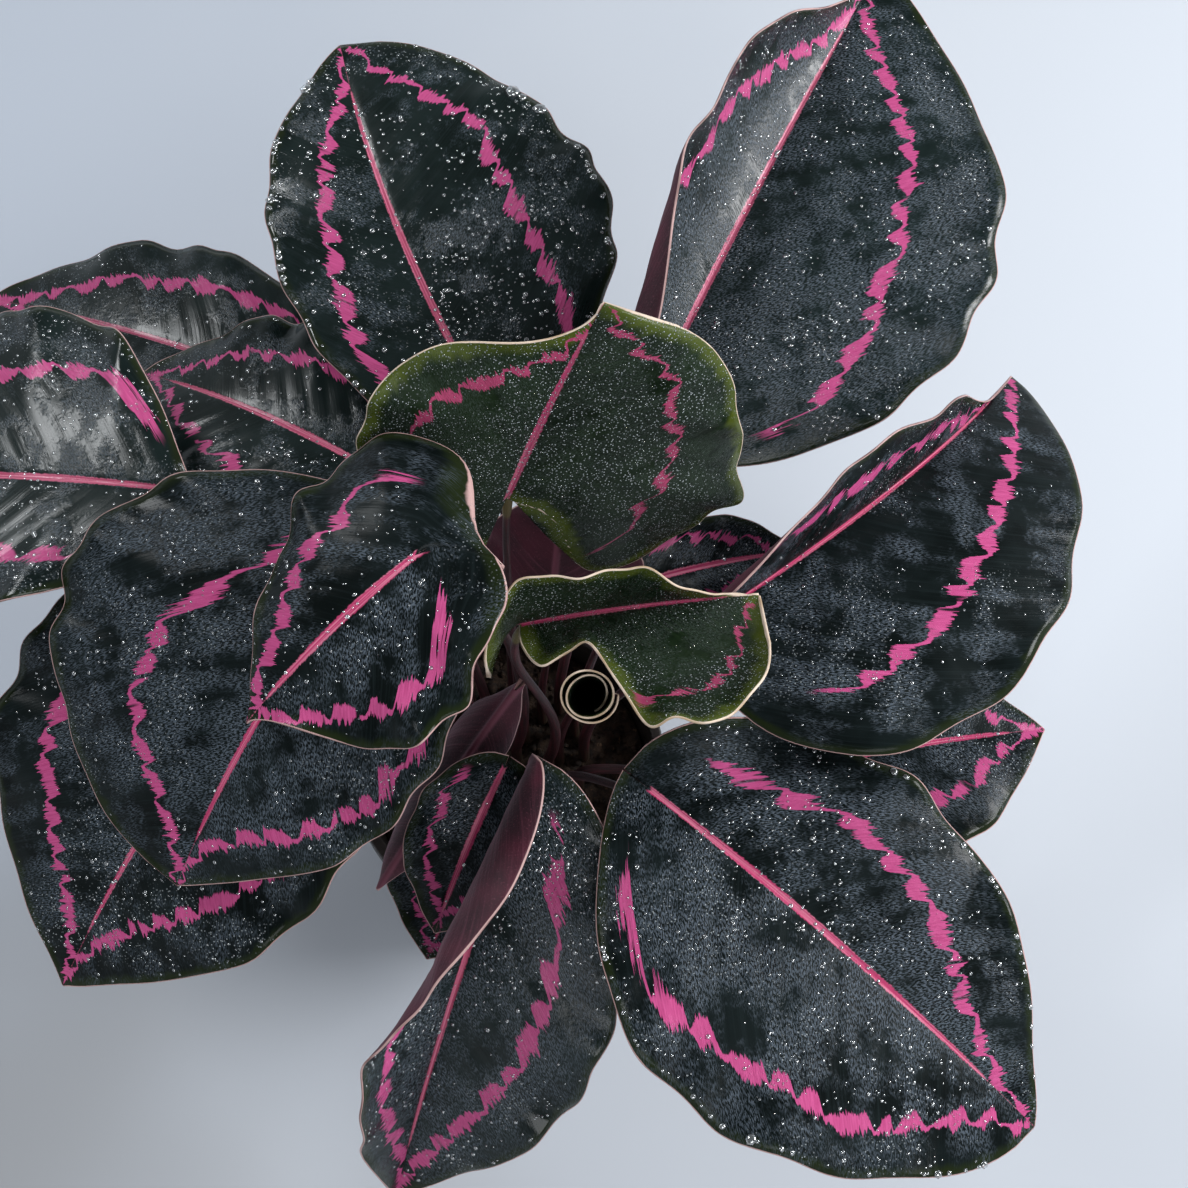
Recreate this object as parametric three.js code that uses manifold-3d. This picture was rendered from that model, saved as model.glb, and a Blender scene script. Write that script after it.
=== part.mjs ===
// Potted calathea with rounded dark leaves: each leaf with its petiole, one rolled new leaf, soil and pot.
// Millimetres, Z up. The origin is the centre of the underside of the pot, and -Y is the front.
import * as THREE from "three";
import { mergeVertices } from "three/addons/utils/BufferGeometryUtils.js";
import Module from "manifold-3d";

// Pot: a round tapered plastic pot with a rolled rim and drain holes.
const POT_HEIGHT = 105;
const POT_FOOT_RADIUS = 44;
const POT_RIM_RADIUS = 62;
const POT_WALL = 1.8;
const POT_FLOOR = 2.2;
const RIM_DROP = 11;
const RIM_OVERHANG = 2.6;
const POT_SIDES = 32;
const DRAIN_HOLES = 6;
const DRAIN_RADIUS = 4;
const DRAIN_CIRCLE = 28;

// Soil: fills the pot to a little below the rim, with a lumpy top.
const SOIL_TOP = 92;
const SOIL_GAP = 0.3;
const SOIL_LUMP = 1.6;
const SOIL_SIDES = 28;
const SOIL_RINGS = [50, 38, 25, 12];

// Petioles: each stands upright in its own plain hole in the soil, then curves over and tapers to the blade.
// RISE, TURN and STEER shape that curve, as shares of the height that is left above the straight foot.
const HOLE_FLOOR = 62;
const HOLE_GAP = 0.35;
const HOLE_SIDES = 8;
const PETIOLE_SIDES = 6;
const PETIOLE_RINGS = 8;
const PETIOLE_FOOT_RADIUS = 2.3;
const PETIOLE_TOP_RADIUS = 1.3;
const PETIOLE_STRAIGHT = 14;
const PETIOLE_RISE = 0.4;
const PETIOLE_TURN = 0.25;
const PETIOLE_STEER = 0.4;
const PETIOLE_STEPS = 24;
const JOINT_AT = 0.03;
const JOINT_SINK = 0.9;

// Blades: a grid of rows along the side veins and columns from the midrib to each margin. The margins wave
// and are lightly scalloped, and the wave grows from the midrib outwards and calms where a half is tilted
// steeply, between CALM_FROM and CALM_TO in radians.
const BLADE_THICKNESS = 0.8;
const RIB_DEPTH = 1.2;
const RIB_TAPER = 0.8;
const BLADE_ROWS = 15;
const SMALL_BLADE_ROWS = 10;
const HALF_COLUMNS = [0.07, 0.45, 0.8, 1];
const END_HALF_WIDTH = 1.2;
const FULLNESS = 0.56;
const SHOULDER_END = 0.45;
const BLUNT_START = 0.6;
const PINCH_SPAN = 0.17;
const VEIN_SLANT = 0.12;
const SCALLOP_PACE = 1.6;
const OPEN_SPAN = 0.05;
const TURN_SPAN = 0.14;
const BEND_STEPS = 12;
const RIPPLE = 0.35;
const RIPPLE_PACE = 2.3;
const WAVE_ONSET = 2.5;
const HALF_SHIFT = 1.7;
const CURL_CALM = 0.8;
const CALM_FROM = 1.2;
const CALM_TO = 2.4;
const TINY = 1e-9;
const NORMAL_STEP = 0.01;

// Rolled leaf: a scroll of thin blade round a leaning axis, wider at its mouth.
const SCROLL_MOUTH_RADIUS = 9;
const SCROLL_FOOT_RADIUS = 5.2;
const SCROLL_PITCH = 1.6;
const SCROLL_TURNS = 2.2;
const SCROLL_ROWS = 6;
const SCROLL_STEPS = 28;
const SCROLL_FLAP = 12;
const SCROLL_PLUG = 4;

// Each leaf: base and tip of the midrib, half widths left and right of it seen from the base, wave of the
// margins as height, count and phase, and foot in the soil. Lengths in millimetres, angles in degrees, and
// pairs are for the left and the right half. Where a leaf differs from PLAIN: arch (rise of the midrib at
// its middle), bend (its sideways bow), roll about the midrib, cup (tilt), curve (bend over the width), curl
// (extra rolling in near the base, gone at curlEnd of the length, and kept to the margin where crisp is above
// 1), back (reach of the base lobe behind the petiole), open (1 where the lobe's inner end is cut back to the
// petiole), turn (how far that inner end swings to the right), shoulder and blunt (roundness at the base and
// at the tip, less is fuller), skew (less puts the widest place nearer the base), pinch (how far the margin
// draws in at pinchAt), scallop (depth of the margin's lobes), lean (how far the petiole swings out on its
// way up) and small (fewer rows).
const PLAIN = {
  arch: 8, bend: 0, roll: 0, cup: [8, 8], curve: [-14, -14], curl: [0, 0], curlEnd: 0.5, crisp: 1,
  back: [4, 4], open: [0, 0], turn: [0, 0], shoulder: [0.56, 0.56], blunt: [0.9, 0.9], skew: [0.88, 0.88],
  pinch: [0, 0], pinchAt: 0.3, scallop: 0.018, lean: [0, 0], small: false,
};
const LEAVES = [
  {
    name: "leaf_back_left", base: [-1, 86, 218], tip: [-62, 236, 245], half: [46, 78],
    wave: [1.6, 4, 0.4], foot: [2, 27], bend: -7, curve: [-18, -18], blunt: [0.8, 0.45],
  },
  {
    name: "leaf_back_right", base: [50, 83, 225], tip: [141, 258, 262], half: [50, 90], back: [10, 10],
    wave: [1.6, 4, 1.2], foot: [20, 26], cup: [27, 4], curve: [80, -16], curl: [124, 0], curlEnd: 0.46,
    crisp: 3, shoulder: [0.42, 0.56], blunt: [2, 0.8],
  },
  {
    name: "leaf_right", base: [80, 8, 238], tip: [188, 114, 205], half: [36, 76], arch: 11, bend: 7,
    wave: [1.6, 3, 3.2], foot: [30, 6], cup: [85, 7], curve: [0, -20], curl: [60, 0], curlEnd: 0.35,
    crisp: 2, back: [18, 23], turn: [0, -9], shoulder: [0.6, 0.35], blunt: [2.3, 0.6],
    skew: [0.5, 0.65],
  },
  {
    name: "leaf_right_low", base: [96, -27, 168], tip: [196, -9, 164], half: [38, 40], arch: 6,
    wave: [1.5, 3, 0.6], foot: [28, -7], cup: [6, 6], small: true,
  },
  {
    name: "leaf_front_right", base: [51, -50, 222], tip: [170, -149, 190], half: [56, 68], arch: 10,
    wave: [2.4, 3, 0], foot: [20, -14], curl: [60, 0], curlEnd: 0.25, back: [10, 10], shoulder: [0.56, 0.8],
    blunt: [0.8, 0.55],
  },
  {
    name: "leaf_front", base: [14, -43, 222], tip: [-33, -164, 132], half: [52, 38], arch: 12,
    wave: [2.2, 4, 0.8], foot: [6, -17], cup: [6, 62], curve: [-12, 10], curl: [0, 120], curlEnd: 0.7,
  },
  {
    name: "leaf_left_top", base: [-18, 0, 288], tip: [-69, -43, 262], half: [44, 45], arch: 5, roll: -6,
    wave: [2.5, 3, -3], foot: [3, 5], lean: [14, -4], cup: [-8, 3], curve: [12, -35], back: [17, 41],
    open: [0, 0.58], turn: [-16, -20], shoulder: [0.7, 1.05], blunt: [1.4, 0.88], skew: [0.98, 0.53],
    scallop: 0.03,
  },
  {
    name: "leaf_left_middle", base: [-36, 22, 250], tip: [-101, -75, 198], half: [58, 84], arch: 12,
    wave: [1.8, 4, 1.4], foot: [-12, 9], back: [14, 14], shoulder: [0.5, 0.56], blunt: [0.9, 0.5],
  },
  {
    name: "leaf_left_low", base: [-59, 23, 215], tip: [-148, -98, 153], half: [66, 74], arch: 14,
    wave: [2, 4, 2.4], foot: [-20, 0], back: [10, 10], shoulder: [0.5, 0.5],
  },
  {
    name: "leaf_far_left", base: [-104, 50, 235], tip: [-254, 71, 198], half: [50, 68], arch: 10,
    wave: [2.5, 4, 0.2], foot: [-22, 15], shoulder: [0.7, 1.1], lean: [-10, 14],
  },
  {
    name: "leaf_far_left_low", base: [-66, 113, 190], tip: [-208, 170, 175], half: [46, 46],
    wave: [2, 4, 1.1], foot: [-16, 27], cup: [6, 6], small: true,
  },
  {
    name: "leaf_left_back", base: [-43, 71, 210], tip: [-136, 122, 195], half: [38, 44],
    wave: [2, 4, 0.9], foot: [-8, 20], cup: [6, 6],
  },
  {
    name: "leaf_young_centre", base: [5, 43, 242], tip: [37, 72, 312], half: [55, 83], arch: 2, roll: 40,
    wave: [2.5, 3, -1.9], foot: [6, 14], cup: [21, -2], curve: [-16, -36], back: [24, 46], open: [0, 1],
    shoulder: [0.5, 0.65], blunt: [2.4, 0.3], scallop: 0.02,
  },
  {
    name: "leaf_young_right", base: [11, -9, 257], tip: [84, -4, 268], half: [26, 65], arch: 3,
    wave: [2, 3, 0.2], foot: [16, 0], lean: [14, 2], cup: [81, 16], curve: [9, 34], back: [10, 0],
    turn: [16, 2], shoulder: [1.2, 0.44], blunt: [2.4, 0.28], skew: [0.5, 1.5], pinch: [0, 0.57],
    pinchAt: 0.3, scallop: 0.025,
  },
  {
    name: "leaf_small_front", base: [4, -34, 196], tip: [-20, -83, 166], half: [26, 22], arch: 5,
    wave: [1.5, 3, 0.2], foot: [-2, -14], lean: [4, -6], curve: [-8, -8], small: true,
  },
  {
    name: "leaf_small_front_low", base: [-2, -38, 152], tip: [-26, -84, 130], half: [24, 28], arch: 4,
    wave: [1.2, 3, 1.2], foot: [-10, -18], curve: [-8, -8], small: true,
  },
  {
    name: "leaf_half_rolled", base: [7, -4, 190], tip: [-43, -63, 147], half: [24, 15], arch: 3, roll: 180,
    wave: [1, 3, 0.5], foot: [-9, -4], cup: [10, 10], curve: [70, 70], shoulder: [1, 1], small: true,
  },
  {
    name: "leaf_upright_back", base: [18, 26, 168], tip: [24, 60, 222], half: [32, 30], arch: 4, roll: 180,
    wave: [1, 3, 1.5], foot: [13, 22], cup: [8, 8], curve: [20, 20], small: true,
  },
  {
    name: "leaf_small_back", base: [46, 44, 172], tip: [110, 53, 184], half: [20, 22], arch: 4,
    wave: [1, 3, 0.9], foot: [26, 16], cup: [10, 10], small: true,
  },
].map((leaf) => ({ ...PLAIN, ...leaf }));

// The rolled leaf: centre of the mouth, foot of the scroll, and foot in the soil.
const ROLLED = { name: "leaf_rolled", mouth: [32.4, -39, 274], foot: [33, 0, 180], soil: [20, 4] };

const wasm = await Module();
wasm.setup();

const UP = new THREE.Vector3(0, 0, 1);
const radians = THREE.MathUtils.degToRad;
const lerp = THREE.MathUtils.lerp;
const smoothstep = THREE.MathUtils.smoothstep;

// A closed mesh as a solid that can be joined and cut.
function solidOf(geometry) {
  const bare = geometry.clone();
  bare.deleteAttribute("normal");
  bare.deleteAttribute("uv");
  const merged = mergeVertices(bare, 1e-4);
  return new wasm.Manifold(
    new wasm.Mesh({
      numProp: 3,
      vertProperties: new Float32Array(merged.attributes.position.array),
      triVerts: new Uint32Array(merged.index.array),
    }),
  );
}

// A solid back as a geometry that can be drawn.
function geometryOf(solid) {
  const mesh = solid.getMesh();
  const geometry = new THREE.BufferGeometry();
  geometry.setAttribute("position", new THREE.BufferAttribute(mesh.vertProperties, 3));
  geometry.setIndex(new THREE.BufferAttribute(mesh.triVerts, 1));
  geometry.computeVertexNormals();
  return geometry;
}

function indexedGeometry(points, triangles) {
  const geometry = new THREE.BufferGeometry().setFromPoints(points);
  geometry.setIndex(triangles);
  return geometry;
}

// The line of the midrib, with its length and the frame of the blade along it.
function midribOf(leaf) {
  const base = new THREE.Vector3(...leaf.base);
  const tip = new THREE.Vector3(...leaf.tip);
  const chord = tip.clone().sub(base).normalize();
  const side = chord.clone().cross(UP).normalize();
  const rise = side.clone().cross(chord);
  const middle = base.clone().lerp(tip, 0.5);
  middle.addScaledVector(rise, 2 * leaf.arch).addScaledVector(side, 2 * leaf.bend);
  const curve = new THREE.QuadraticBezierCurve3(base, middle, tip);
  return { curve, length: curve.getLength() };
}

// Point and frame at a distance along the midrib. Behind the base it runs on straight.
function frameAt(leaf, midrib, distance) {
  const share = THREE.MathUtils.clamp(distance / midrib.length, 0, 1);
  const tangent = midrib.curve.getTangent(share);
  const point = midrib.curve.getPoint(share);
  if (distance < 0) point.addScaledVector(tangent, distance);
  const flat = tangent.clone().cross(UP).normalize();
  const up = flat.clone().cross(tangent);
  const roll = radians(leaf.roll);
  const side = flat.clone().multiplyScalar(Math.cos(roll)).addScaledVector(up, -Math.sin(roll));
  const normal = up.multiplyScalar(Math.cos(roll)).addScaledVector(flat, Math.sin(roll));
  return { point, side, normal, tangent };
}

// Share of the full half width at a share of the length: rounded at the base, pointed at the tip.
function outline(leaf, which, along) {
  const swell = Math.max(Math.sin(Math.PI * Math.pow(along, leaf.skew[which])), 0);
  const shoulder = lerp(leaf.shoulder[which], FULLNESS, smoothstep(along, 0, SHOULDER_END));
  const full = Math.pow(swell, lerp(shoulder, leaf.blunt[which], smoothstep(along, BLUNT_START, 1)));
  return full * (1 - leaf.pinch[which] * Math.exp(-(((along - leaf.pinchAt) / PINCH_SPAN) ** 2)));
}

// Tilt of a half blade at a share of its width, from the flat.
function tiltAt(leaf, which, along, out) {
  const curl = leaf.curl[which] * (1 - smoothstep(along, 0, leaf.curlEnd));
  return radians(leaf.cup[which] + leaf.curve[which] * out + curl * Math.pow(out, leaf.crisp));
}

// How far a half blade reaches sideways and up, for a half width of 1.
function bentReach(leaf, which, along, out) {
  let sideways = 0;
  let height = 0;
  for (let step = 0; step < BEND_STEPS; step++) {
    const tilt = tiltAt(leaf, which, along, (out * (step + 0.5)) / BEND_STEPS);
    sideways += (out * Math.cos(tilt)) / BEND_STEPS;
    height += (out * Math.sin(tilt)) / BEND_STEPS;
  }
  return [sideways, height];
}

// A point of the blade: along runs from base to tip, across from -1 at the left margin to 1 at the right.
function bladePoint(leaf, midrib, along, across) {
  const which = across < 0 ? 0 : 1;
  const out = Math.abs(across);
  const lobe = leaf.back[which] * (1 - leaf.open[which] * Math.exp(-((along / OPEN_SPAN) ** 2)));
  const marginAt = lerp(-lobe, midrib.length, along);
  const veinAt = midrib.length * (along - VEIN_SLANT * Math.sin(Math.PI * along));
  const [waveHeight, waveCount, wavePhase] = leaf.wave;
  const turn = 2 * Math.PI * waveCount * along + wavePhase + HALF_SHIFT * which;
  const fade = Math.sqrt(Math.sin(Math.PI * along) + TINY);
  const scallop = 1 + leaf.scallop * fade * Math.sin(SCALLOP_PACE * turn + 1);
  const width = Math.max(leaf.half[which] * outline(leaf, which, along) * scallop, END_HALF_WIDTH);
  const [sideways, height] = bentReach(leaf, which, along, out);
  const tilt = tiltAt(leaf, which, along, out);
  const calm = 1 - CURL_CALM * smoothstep(tilt, CALM_FROM, CALM_TO);
  const ripple = Math.sin(turn) + RIPPLE * Math.sin(RIPPLE_PACE * turn + 2);
  const wave = waveHeight * calm * fade * Math.pow(out, WAVE_ONSET) * ripple;
  const frame = frameAt(leaf, midrib, lerp(veinAt, marginAt, out));
  const sign = which === 0 ? -1 : 1;
  const swing = leaf.turn[which] * out * out * Math.exp(-((along / TURN_SPAN) ** 2));
  frame.point.addScaledVector(frame.side, sign * (width * sideways - wave * Math.sin(tilt)) + swing);
  return frame.point.addScaledVector(frame.normal, width * height + wave * Math.cos(tilt));
}

// The blade's normal, from the points close by on the same blade.
function bladeNormal(leaf, midrib, along, across) {
  const a0 = Math.max(along - NORMAL_STEP, 0);
  const a1 = Math.min(along + NORMAL_STEP, 1);
  const c0 = Math.max(across - NORMAL_STEP, -1);
  const c1 = Math.min(across + NORMAL_STEP, 1);
  const forward = bladePoint(leaf, midrib, a1, across).sub(bladePoint(leaf, midrib, a0, across));
  const sideways = bladePoint(leaf, midrib, along, c1).sub(bladePoint(leaf, midrib, along, c0));
  return sideways.cross(forward).normalize();
}

// Rows a little closer together near the base and the tip.
function rowShare(row, rows) {
  const even = row / rows;
  return 0.5 * even + 0.25 * (1 - Math.cos(Math.PI * even));
}

// A closed slab from two like grids of points, top and bottom, split into triangles alike.
function slab(top, bottom, rows, columns) {
  const triangles = [];
  const under = top.length;
  const at = (row, column) => row * columns + column;
  const quad = (a, b, c, d) => triangles.push(a, b, c, a, c, d);
  for (let row = 0; row < rows - 1; row++) {
    for (let column = 0; column < columns - 1; column++) {
      const corners = [at(row, column), at(row, column + 1), at(row + 1, column + 1), at(row + 1, column)];
      const [a, b, c, d] = corners;
      const [e, f, g, h] = corners.map((corner) => corner + under);
      if (column < (columns - 1) / 2) {
        triangles.push(a, b, c, a, c, d, e, g, f, e, h, g);
      } else {
        triangles.push(a, b, d, b, c, d, e, h, f, f, h, g);
      }
    }
    const last = columns - 1;
    quad(at(row, 0), at(row + 1, 0), at(row + 1, 0) + under, at(row, 0) + under);
    quad(at(row, last), at(row, last) + under, at(row + 1, last) + under, at(row + 1, last));
  }
  for (let column = 0; column < columns - 1; column++) {
    const end = rows - 1;
    quad(at(0, column), at(0, column) + under, at(0, column + 1) + under, at(0, column + 1));
    quad(at(end, column), at(end, column + 1), at(end, column + 1) + under, at(end, column) + under);
  }
  return indexedGeometry([...top, ...bottom], triangles);
}

// The blade as a closed slab with the midrib raised on its underside.
function bladeGeometry(leaf, midrib) {
  const rows = leaf.small ? SMALL_BLADE_ROWS : BLADE_ROWS;
  const columns = [...HALF_COLUMNS.map((c) => -c).reverse(), 0, ...HALF_COLUMNS];
  const top = [];
  const bottom = [];
  for (let row = 0; row <= rows; row++) {
    const along = rowShare(row, rows);
    for (const across of columns) {
      const middle = bladePoint(leaf, midrib, along, across);
      const normal = bladeNormal(leaf, midrib, along, across);
      const rib = across === 0 ? RIB_DEPTH * (1 - RIB_TAPER * along) : 0;
      top.push(middle.clone().addScaledVector(normal, BLADE_THICKNESS / 2));
      bottom.push(middle.addScaledVector(normal, -BLADE_THICKNESS / 2 - rib));
    }
  }
  return slab(top, bottom, rows + 1, columns.length);
}

// A closed tube of changing radius along a curve.
function taperedTube(curve, radiusAt, rings, sides) {
  const frames = curve.computeFrenetFrames(rings);
  const points = [];
  const triangles = [];
  for (let ring = 0; ring <= rings; ring++) {
    const centre = curve.getPointAt(ring / rings);
    for (let k = 0; k < sides; k++) {
      const angle = (2 * Math.PI * k) / sides;
      const reach = radiusAt(ring / rings);
      const point = centre.clone().addScaledVector(frames.normals[ring], reach * Math.cos(angle));
      points.push(point.addScaledVector(frames.binormals[ring], reach * Math.sin(angle)));
    }
  }
  for (let ring = 0; ring < rings; ring++) {
    for (let k = 0; k < sides; k++) {
      const next = (k + 1) % sides;
      const a = ring * sides + k;
      const b = ring * sides + next;
      triangles.push(a, b, b + sides, a, b + sides, a + sides);
    }
  }
  const end = rings * sides;
  for (let k = 1; k < sides - 1; k++) {
    triangles.push(0, k + 1, k, end, end + k, end + k + 1);
  }
  return indexedGeometry(points, triangles);
}

// The line of a petiole: upright out of its hole, then curving over to where the blade starts.
function petioleCurve(foot, end, direction, lean) {
  const start = new THREE.Vector3(foot[0], foot[1], HOLE_FLOOR + HOLE_GAP);
  const surface = new THREE.Vector3(foot[0], foot[1], SOIL_TOP + PETIOLE_STRAIGHT);
  const rise = end.z - surface.z;
  const low = surface.clone().addScaledVector(UP, PETIOLE_RISE * rise);
  low.x += lean[0];
  low.y += lean[1];
  const high = end.clone().addScaledVector(direction, -PETIOLE_TURN * rise);
  const path = new THREE.CurvePath();
  path.add(new THREE.LineCurve3(start, surface));
  path.add(new THREE.CubicBezierCurve3(surface, low, high, end));
  return new THREE.CatmullRomCurve3(path.getSpacedPoints(PETIOLE_STEPS));
}

function petioleRadius(share) {
  return lerp(PETIOLE_FOOT_RADIUS, PETIOLE_TOP_RADIUS, smoothstep(share, 0.1, 0.9));
}

// One leaf: its blade fused to its petiole, which runs up under the start of the midrib.
function leafSolid(leaf) {
  const midrib = midribOf(leaf);
  const blade = solidOf(bladeGeometry(leaf, midrib));
  const start = frameAt(leaf, midrib, JOINT_AT * midrib.length);
  const end = start.point.addScaledVector(start.normal, -JOINT_SINK * PETIOLE_TOP_RADIUS);
  const steep = UP.clone().lerp(start.tangent, PETIOLE_STEER).normalize();
  const curve = petioleCurve(leaf.foot, end, steep, leaf.lean);
  const petiole = solidOf(taperedTube(curve, petioleRadius, PETIOLE_RINGS, PETIOLE_SIDES));
  return blade.add(petiole);
}

// The rolled leaf: a scroll that opens at its mouth, closed below by the swollen top of its petiole.
function rolledSolid() {
  const foot = new THREE.Vector3(...ROLLED.foot);
  const mouth = new THREE.Vector3(...ROLLED.mouth);
  const length = mouth.distanceTo(foot);
  const axis = mouth.clone().sub(foot).normalize();
  const right = axis.clone().cross(new THREE.Vector3(0, -1, 0)).normalize();
  const front = right.clone().cross(axis);
  const outer = [];
  const inner = [];
  for (let row = 0; row <= SCROLL_ROWS; row++) {
    const up = row / SCROLL_ROWS;
    for (let step = 0; step <= SCROLL_STEPS; step++) {
      const turn = step / SCROLL_STEPS;
      const angle = 2 * Math.PI * SCROLL_TURNS * turn;
      const flap = SCROLL_FLAP * Math.sin(Math.PI * turn) * up * up;
      const centre = foot.clone().addScaledVector(axis, up * (length - SCROLL_FLAP) + flap);
      const radius = lerp(SCROLL_FOOT_RADIUS, SCROLL_MOUTH_RADIUS, up) - SCROLL_PITCH * SCROLL_TURNS * turn;
      const outward = right.clone().multiplyScalar(Math.cos(angle)).addScaledVector(front, Math.sin(angle));
      outer.push(centre.clone().addScaledVector(outward, radius));
      inner.push(centre.addScaledVector(outward, radius - BLADE_THICKNESS));
    }
  }
  const scroll = solidOf(slab(inner, outer, SCROLL_ROWS + 1, SCROLL_STEPS + 1));
  const plugTop = foot.clone().addScaledVector(axis, SCROLL_PLUG);
  const curve = petioleCurve(ROLLED.soil, plugTop, axis, PLAIN.lean);
  const swell = (share) => Math.max(petioleRadius(share), SCROLL_FOOT_RADIUS * smoothstep(share, 0.8, 0.99));
  const petiole = solidOf(taperedTube(curve, swell, PETIOLE_RINGS + 2, PETIOLE_SIDES + 3));
  return scroll.add(petiole);
}

// Radius of the pot's outer wall at a height.
function potRadius(height) {
  return lerp(POT_FOOT_RADIUS, POT_RIM_RADIUS - RIM_OVERHANG, height / POT_HEIGHT);
}

function potSolid() {
  const inside = (height) => potRadius(height) - POT_WALL;
  const rimLow = POT_HEIGHT - RIM_DROP;
  const profile = [
    [0, 0],
    [POT_FOOT_RADIUS, 0],
    [potRadius(rimLow), rimLow],
    [POT_RIM_RADIUS, rimLow + 1],
    [POT_RIM_RADIUS, POT_HEIGHT - 1],
    [POT_RIM_RADIUS - 1, POT_HEIGHT],
    [inside(POT_HEIGHT), POT_HEIGHT],
    [inside(POT_FLOOR), POT_FLOOR],
    [0, POT_FLOOR],
  ].map(([radius, height]) => new THREE.Vector2(radius, height));
  const shell = new THREE.LatheGeometry(profile, POT_SIDES).rotateX(Math.PI / 2);
  let pot = solidOf(shell);
  for (let k = 0; k < DRAIN_HOLES; k++) {
    const angle = (2 * Math.PI * k) / DRAIN_HOLES;
    const drill = new THREE.CylinderGeometry(DRAIN_RADIUS, DRAIN_RADIUS, 4 * POT_FLOOR, HOLE_SIDES);
    drill.rotateX(Math.PI / 2).translate(DRAIN_CIRCLE * Math.cos(angle), DRAIN_CIRCLE * Math.sin(angle), 0);
    pot = pot.subtract(solidOf(drill));
  }
  return pot;
}

// Height of the soil's lumps at a place on its top.
function lump(x, y) {
  return SOIL_LUMP * (Math.sin(0.31 * x + 0.9) * Math.cos(0.27 * y) + 0.5 * Math.sin(0.53 * x - 0.47 * y));
}

function soilSolid(feet) {
  const floor = POT_FLOOR + SOIL_GAP;
  const wall = (height) => (potRadius(height) - POT_WALL) * Math.cos(Math.PI / POT_SIDES) - SOIL_GAP;
  const profile = [[0, floor], [wall(floor), floor], [wall(SOIL_TOP - 2), SOIL_TOP - 2]];
  for (const ring of SOIL_RINGS) profile.push([ring, SOIL_TOP]);
  profile.push([0, SOIL_TOP]);
  const points = profile.map(([radius, height]) => new THREE.Vector2(radius, height));
  const body = new THREE.LatheGeometry(points, SOIL_SIDES).rotateX(Math.PI / 2);
  const places = body.attributes.position;
  for (let i = 0; i < places.count; i++) {
    const height = places.getZ(i);
    if (height > SOIL_TOP - 1) places.setZ(i, height + lump(places.getX(i), places.getY(i)));
  }
  let soil = solidOf(body);
  for (const [x, y] of feet) {
    const radius = (PETIOLE_FOOT_RADIUS + HOLE_GAP) / Math.cos(Math.PI / HOLE_SIDES);
    const depth = 2 * (SOIL_TOP - HOLE_FLOOR);
    const drill = new THREE.CylinderGeometry(radius, radius, depth, HOLE_SIDES);
    drill.rotateX(Math.PI / 2).translate(x, y, HOLE_FLOOR + depth / 2);
    soil = soil.subtract(solidOf(drill));
  }
  return soil;
}

function finish(color, roughness) {
  return new THREE.MeshStandardMaterial({ color, roughness, metalness: 0, side: THREE.DoubleSide });
}

const MATURE = finish(0x24352c, 0.45);
const YOUNG = finish(0x4a5f2c, 0.5);
const PLASTIC = finish(0x2a2320, 0.55);
const EARTH = finish(0x33251c, 1);

const plant = new THREE.Group();

function addPiece(name, solid, material) {
  const piece = new THREE.Mesh(geometryOf(solid), material);
  piece.name = name;
  plant.add(piece);
}

addPiece("pot", potSolid(), PLASTIC);
addPiece("soil", soilSolid([...LEAVES.map((leaf) => leaf.foot), ROLLED.soil]), EARTH);
for (const leaf of LEAVES) {
  addPiece(leaf.name, leafSolid(leaf), leaf.name.includes("young") ? YOUNG : MATURE);
}
addPiece(ROLLED.name, rolledSolid(), YOUNG);

export default plant;
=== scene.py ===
# Looks of the potted calathea: fine waved blades with their pink marks, petioles, the rolled leaf, water
# drops, crumbly soil and the plastic pot. Lengths are in millimetres, and in metres for the finished meshes,
# the camera, the lights and the floor.
import math

import bpy
import numpy as np
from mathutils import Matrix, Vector


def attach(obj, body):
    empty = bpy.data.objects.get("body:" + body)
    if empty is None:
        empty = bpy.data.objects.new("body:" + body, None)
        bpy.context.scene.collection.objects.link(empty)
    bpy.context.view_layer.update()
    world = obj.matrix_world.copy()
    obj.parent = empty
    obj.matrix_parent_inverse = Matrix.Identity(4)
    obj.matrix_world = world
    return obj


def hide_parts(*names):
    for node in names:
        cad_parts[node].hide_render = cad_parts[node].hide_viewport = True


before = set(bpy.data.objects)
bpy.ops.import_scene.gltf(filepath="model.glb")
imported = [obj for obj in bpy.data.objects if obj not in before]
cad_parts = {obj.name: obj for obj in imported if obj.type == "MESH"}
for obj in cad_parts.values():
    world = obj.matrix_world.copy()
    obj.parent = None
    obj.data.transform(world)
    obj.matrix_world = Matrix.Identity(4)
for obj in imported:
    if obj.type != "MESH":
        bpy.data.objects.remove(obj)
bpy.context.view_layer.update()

MM = 0.001
UP = np.array([0.0, 0.0, 1.0])
TAU = 2 * math.pi

# Camera: 65 degrees above the floor, with a lens of 40 degrees across the square frame.
CAMERA_PLACE = (0.034, -0.213, 0.717)
CAMERA_TILT = 25
FRAME_PIXELS = 1188
LENS_PIXELS = 1632

# Lights, each with its place, width and height, power and colour: a window at the back on the left, a broad
# light from the front and one from the right. The room is bright at the horizon and dim overhead.
LIT_PLACE = (0, 0, 0.2)
LIGHTS = {
    "window": ((-1.1, 0.85, 1.75), (0.55, 0.4), 15, (0.95, 0.98, 1.0)),
    "front": ((0.5, -1.4, 1.9), (1.4, 1.0), 20, (0.95, 0.98, 1.0)),
    "right": ((1.45, 0.25, 1.0), (0.6, 0.6), 28, (0.97, 0.98, 1.0)),
}
ROOM_COLOUR = (0.86, 0.92, 1.0)
ROOM_STRENGTH = {"From Min": 0.1, "From Max": 0.7, "To Min": 0.9, "To Max": 0.17}

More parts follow.
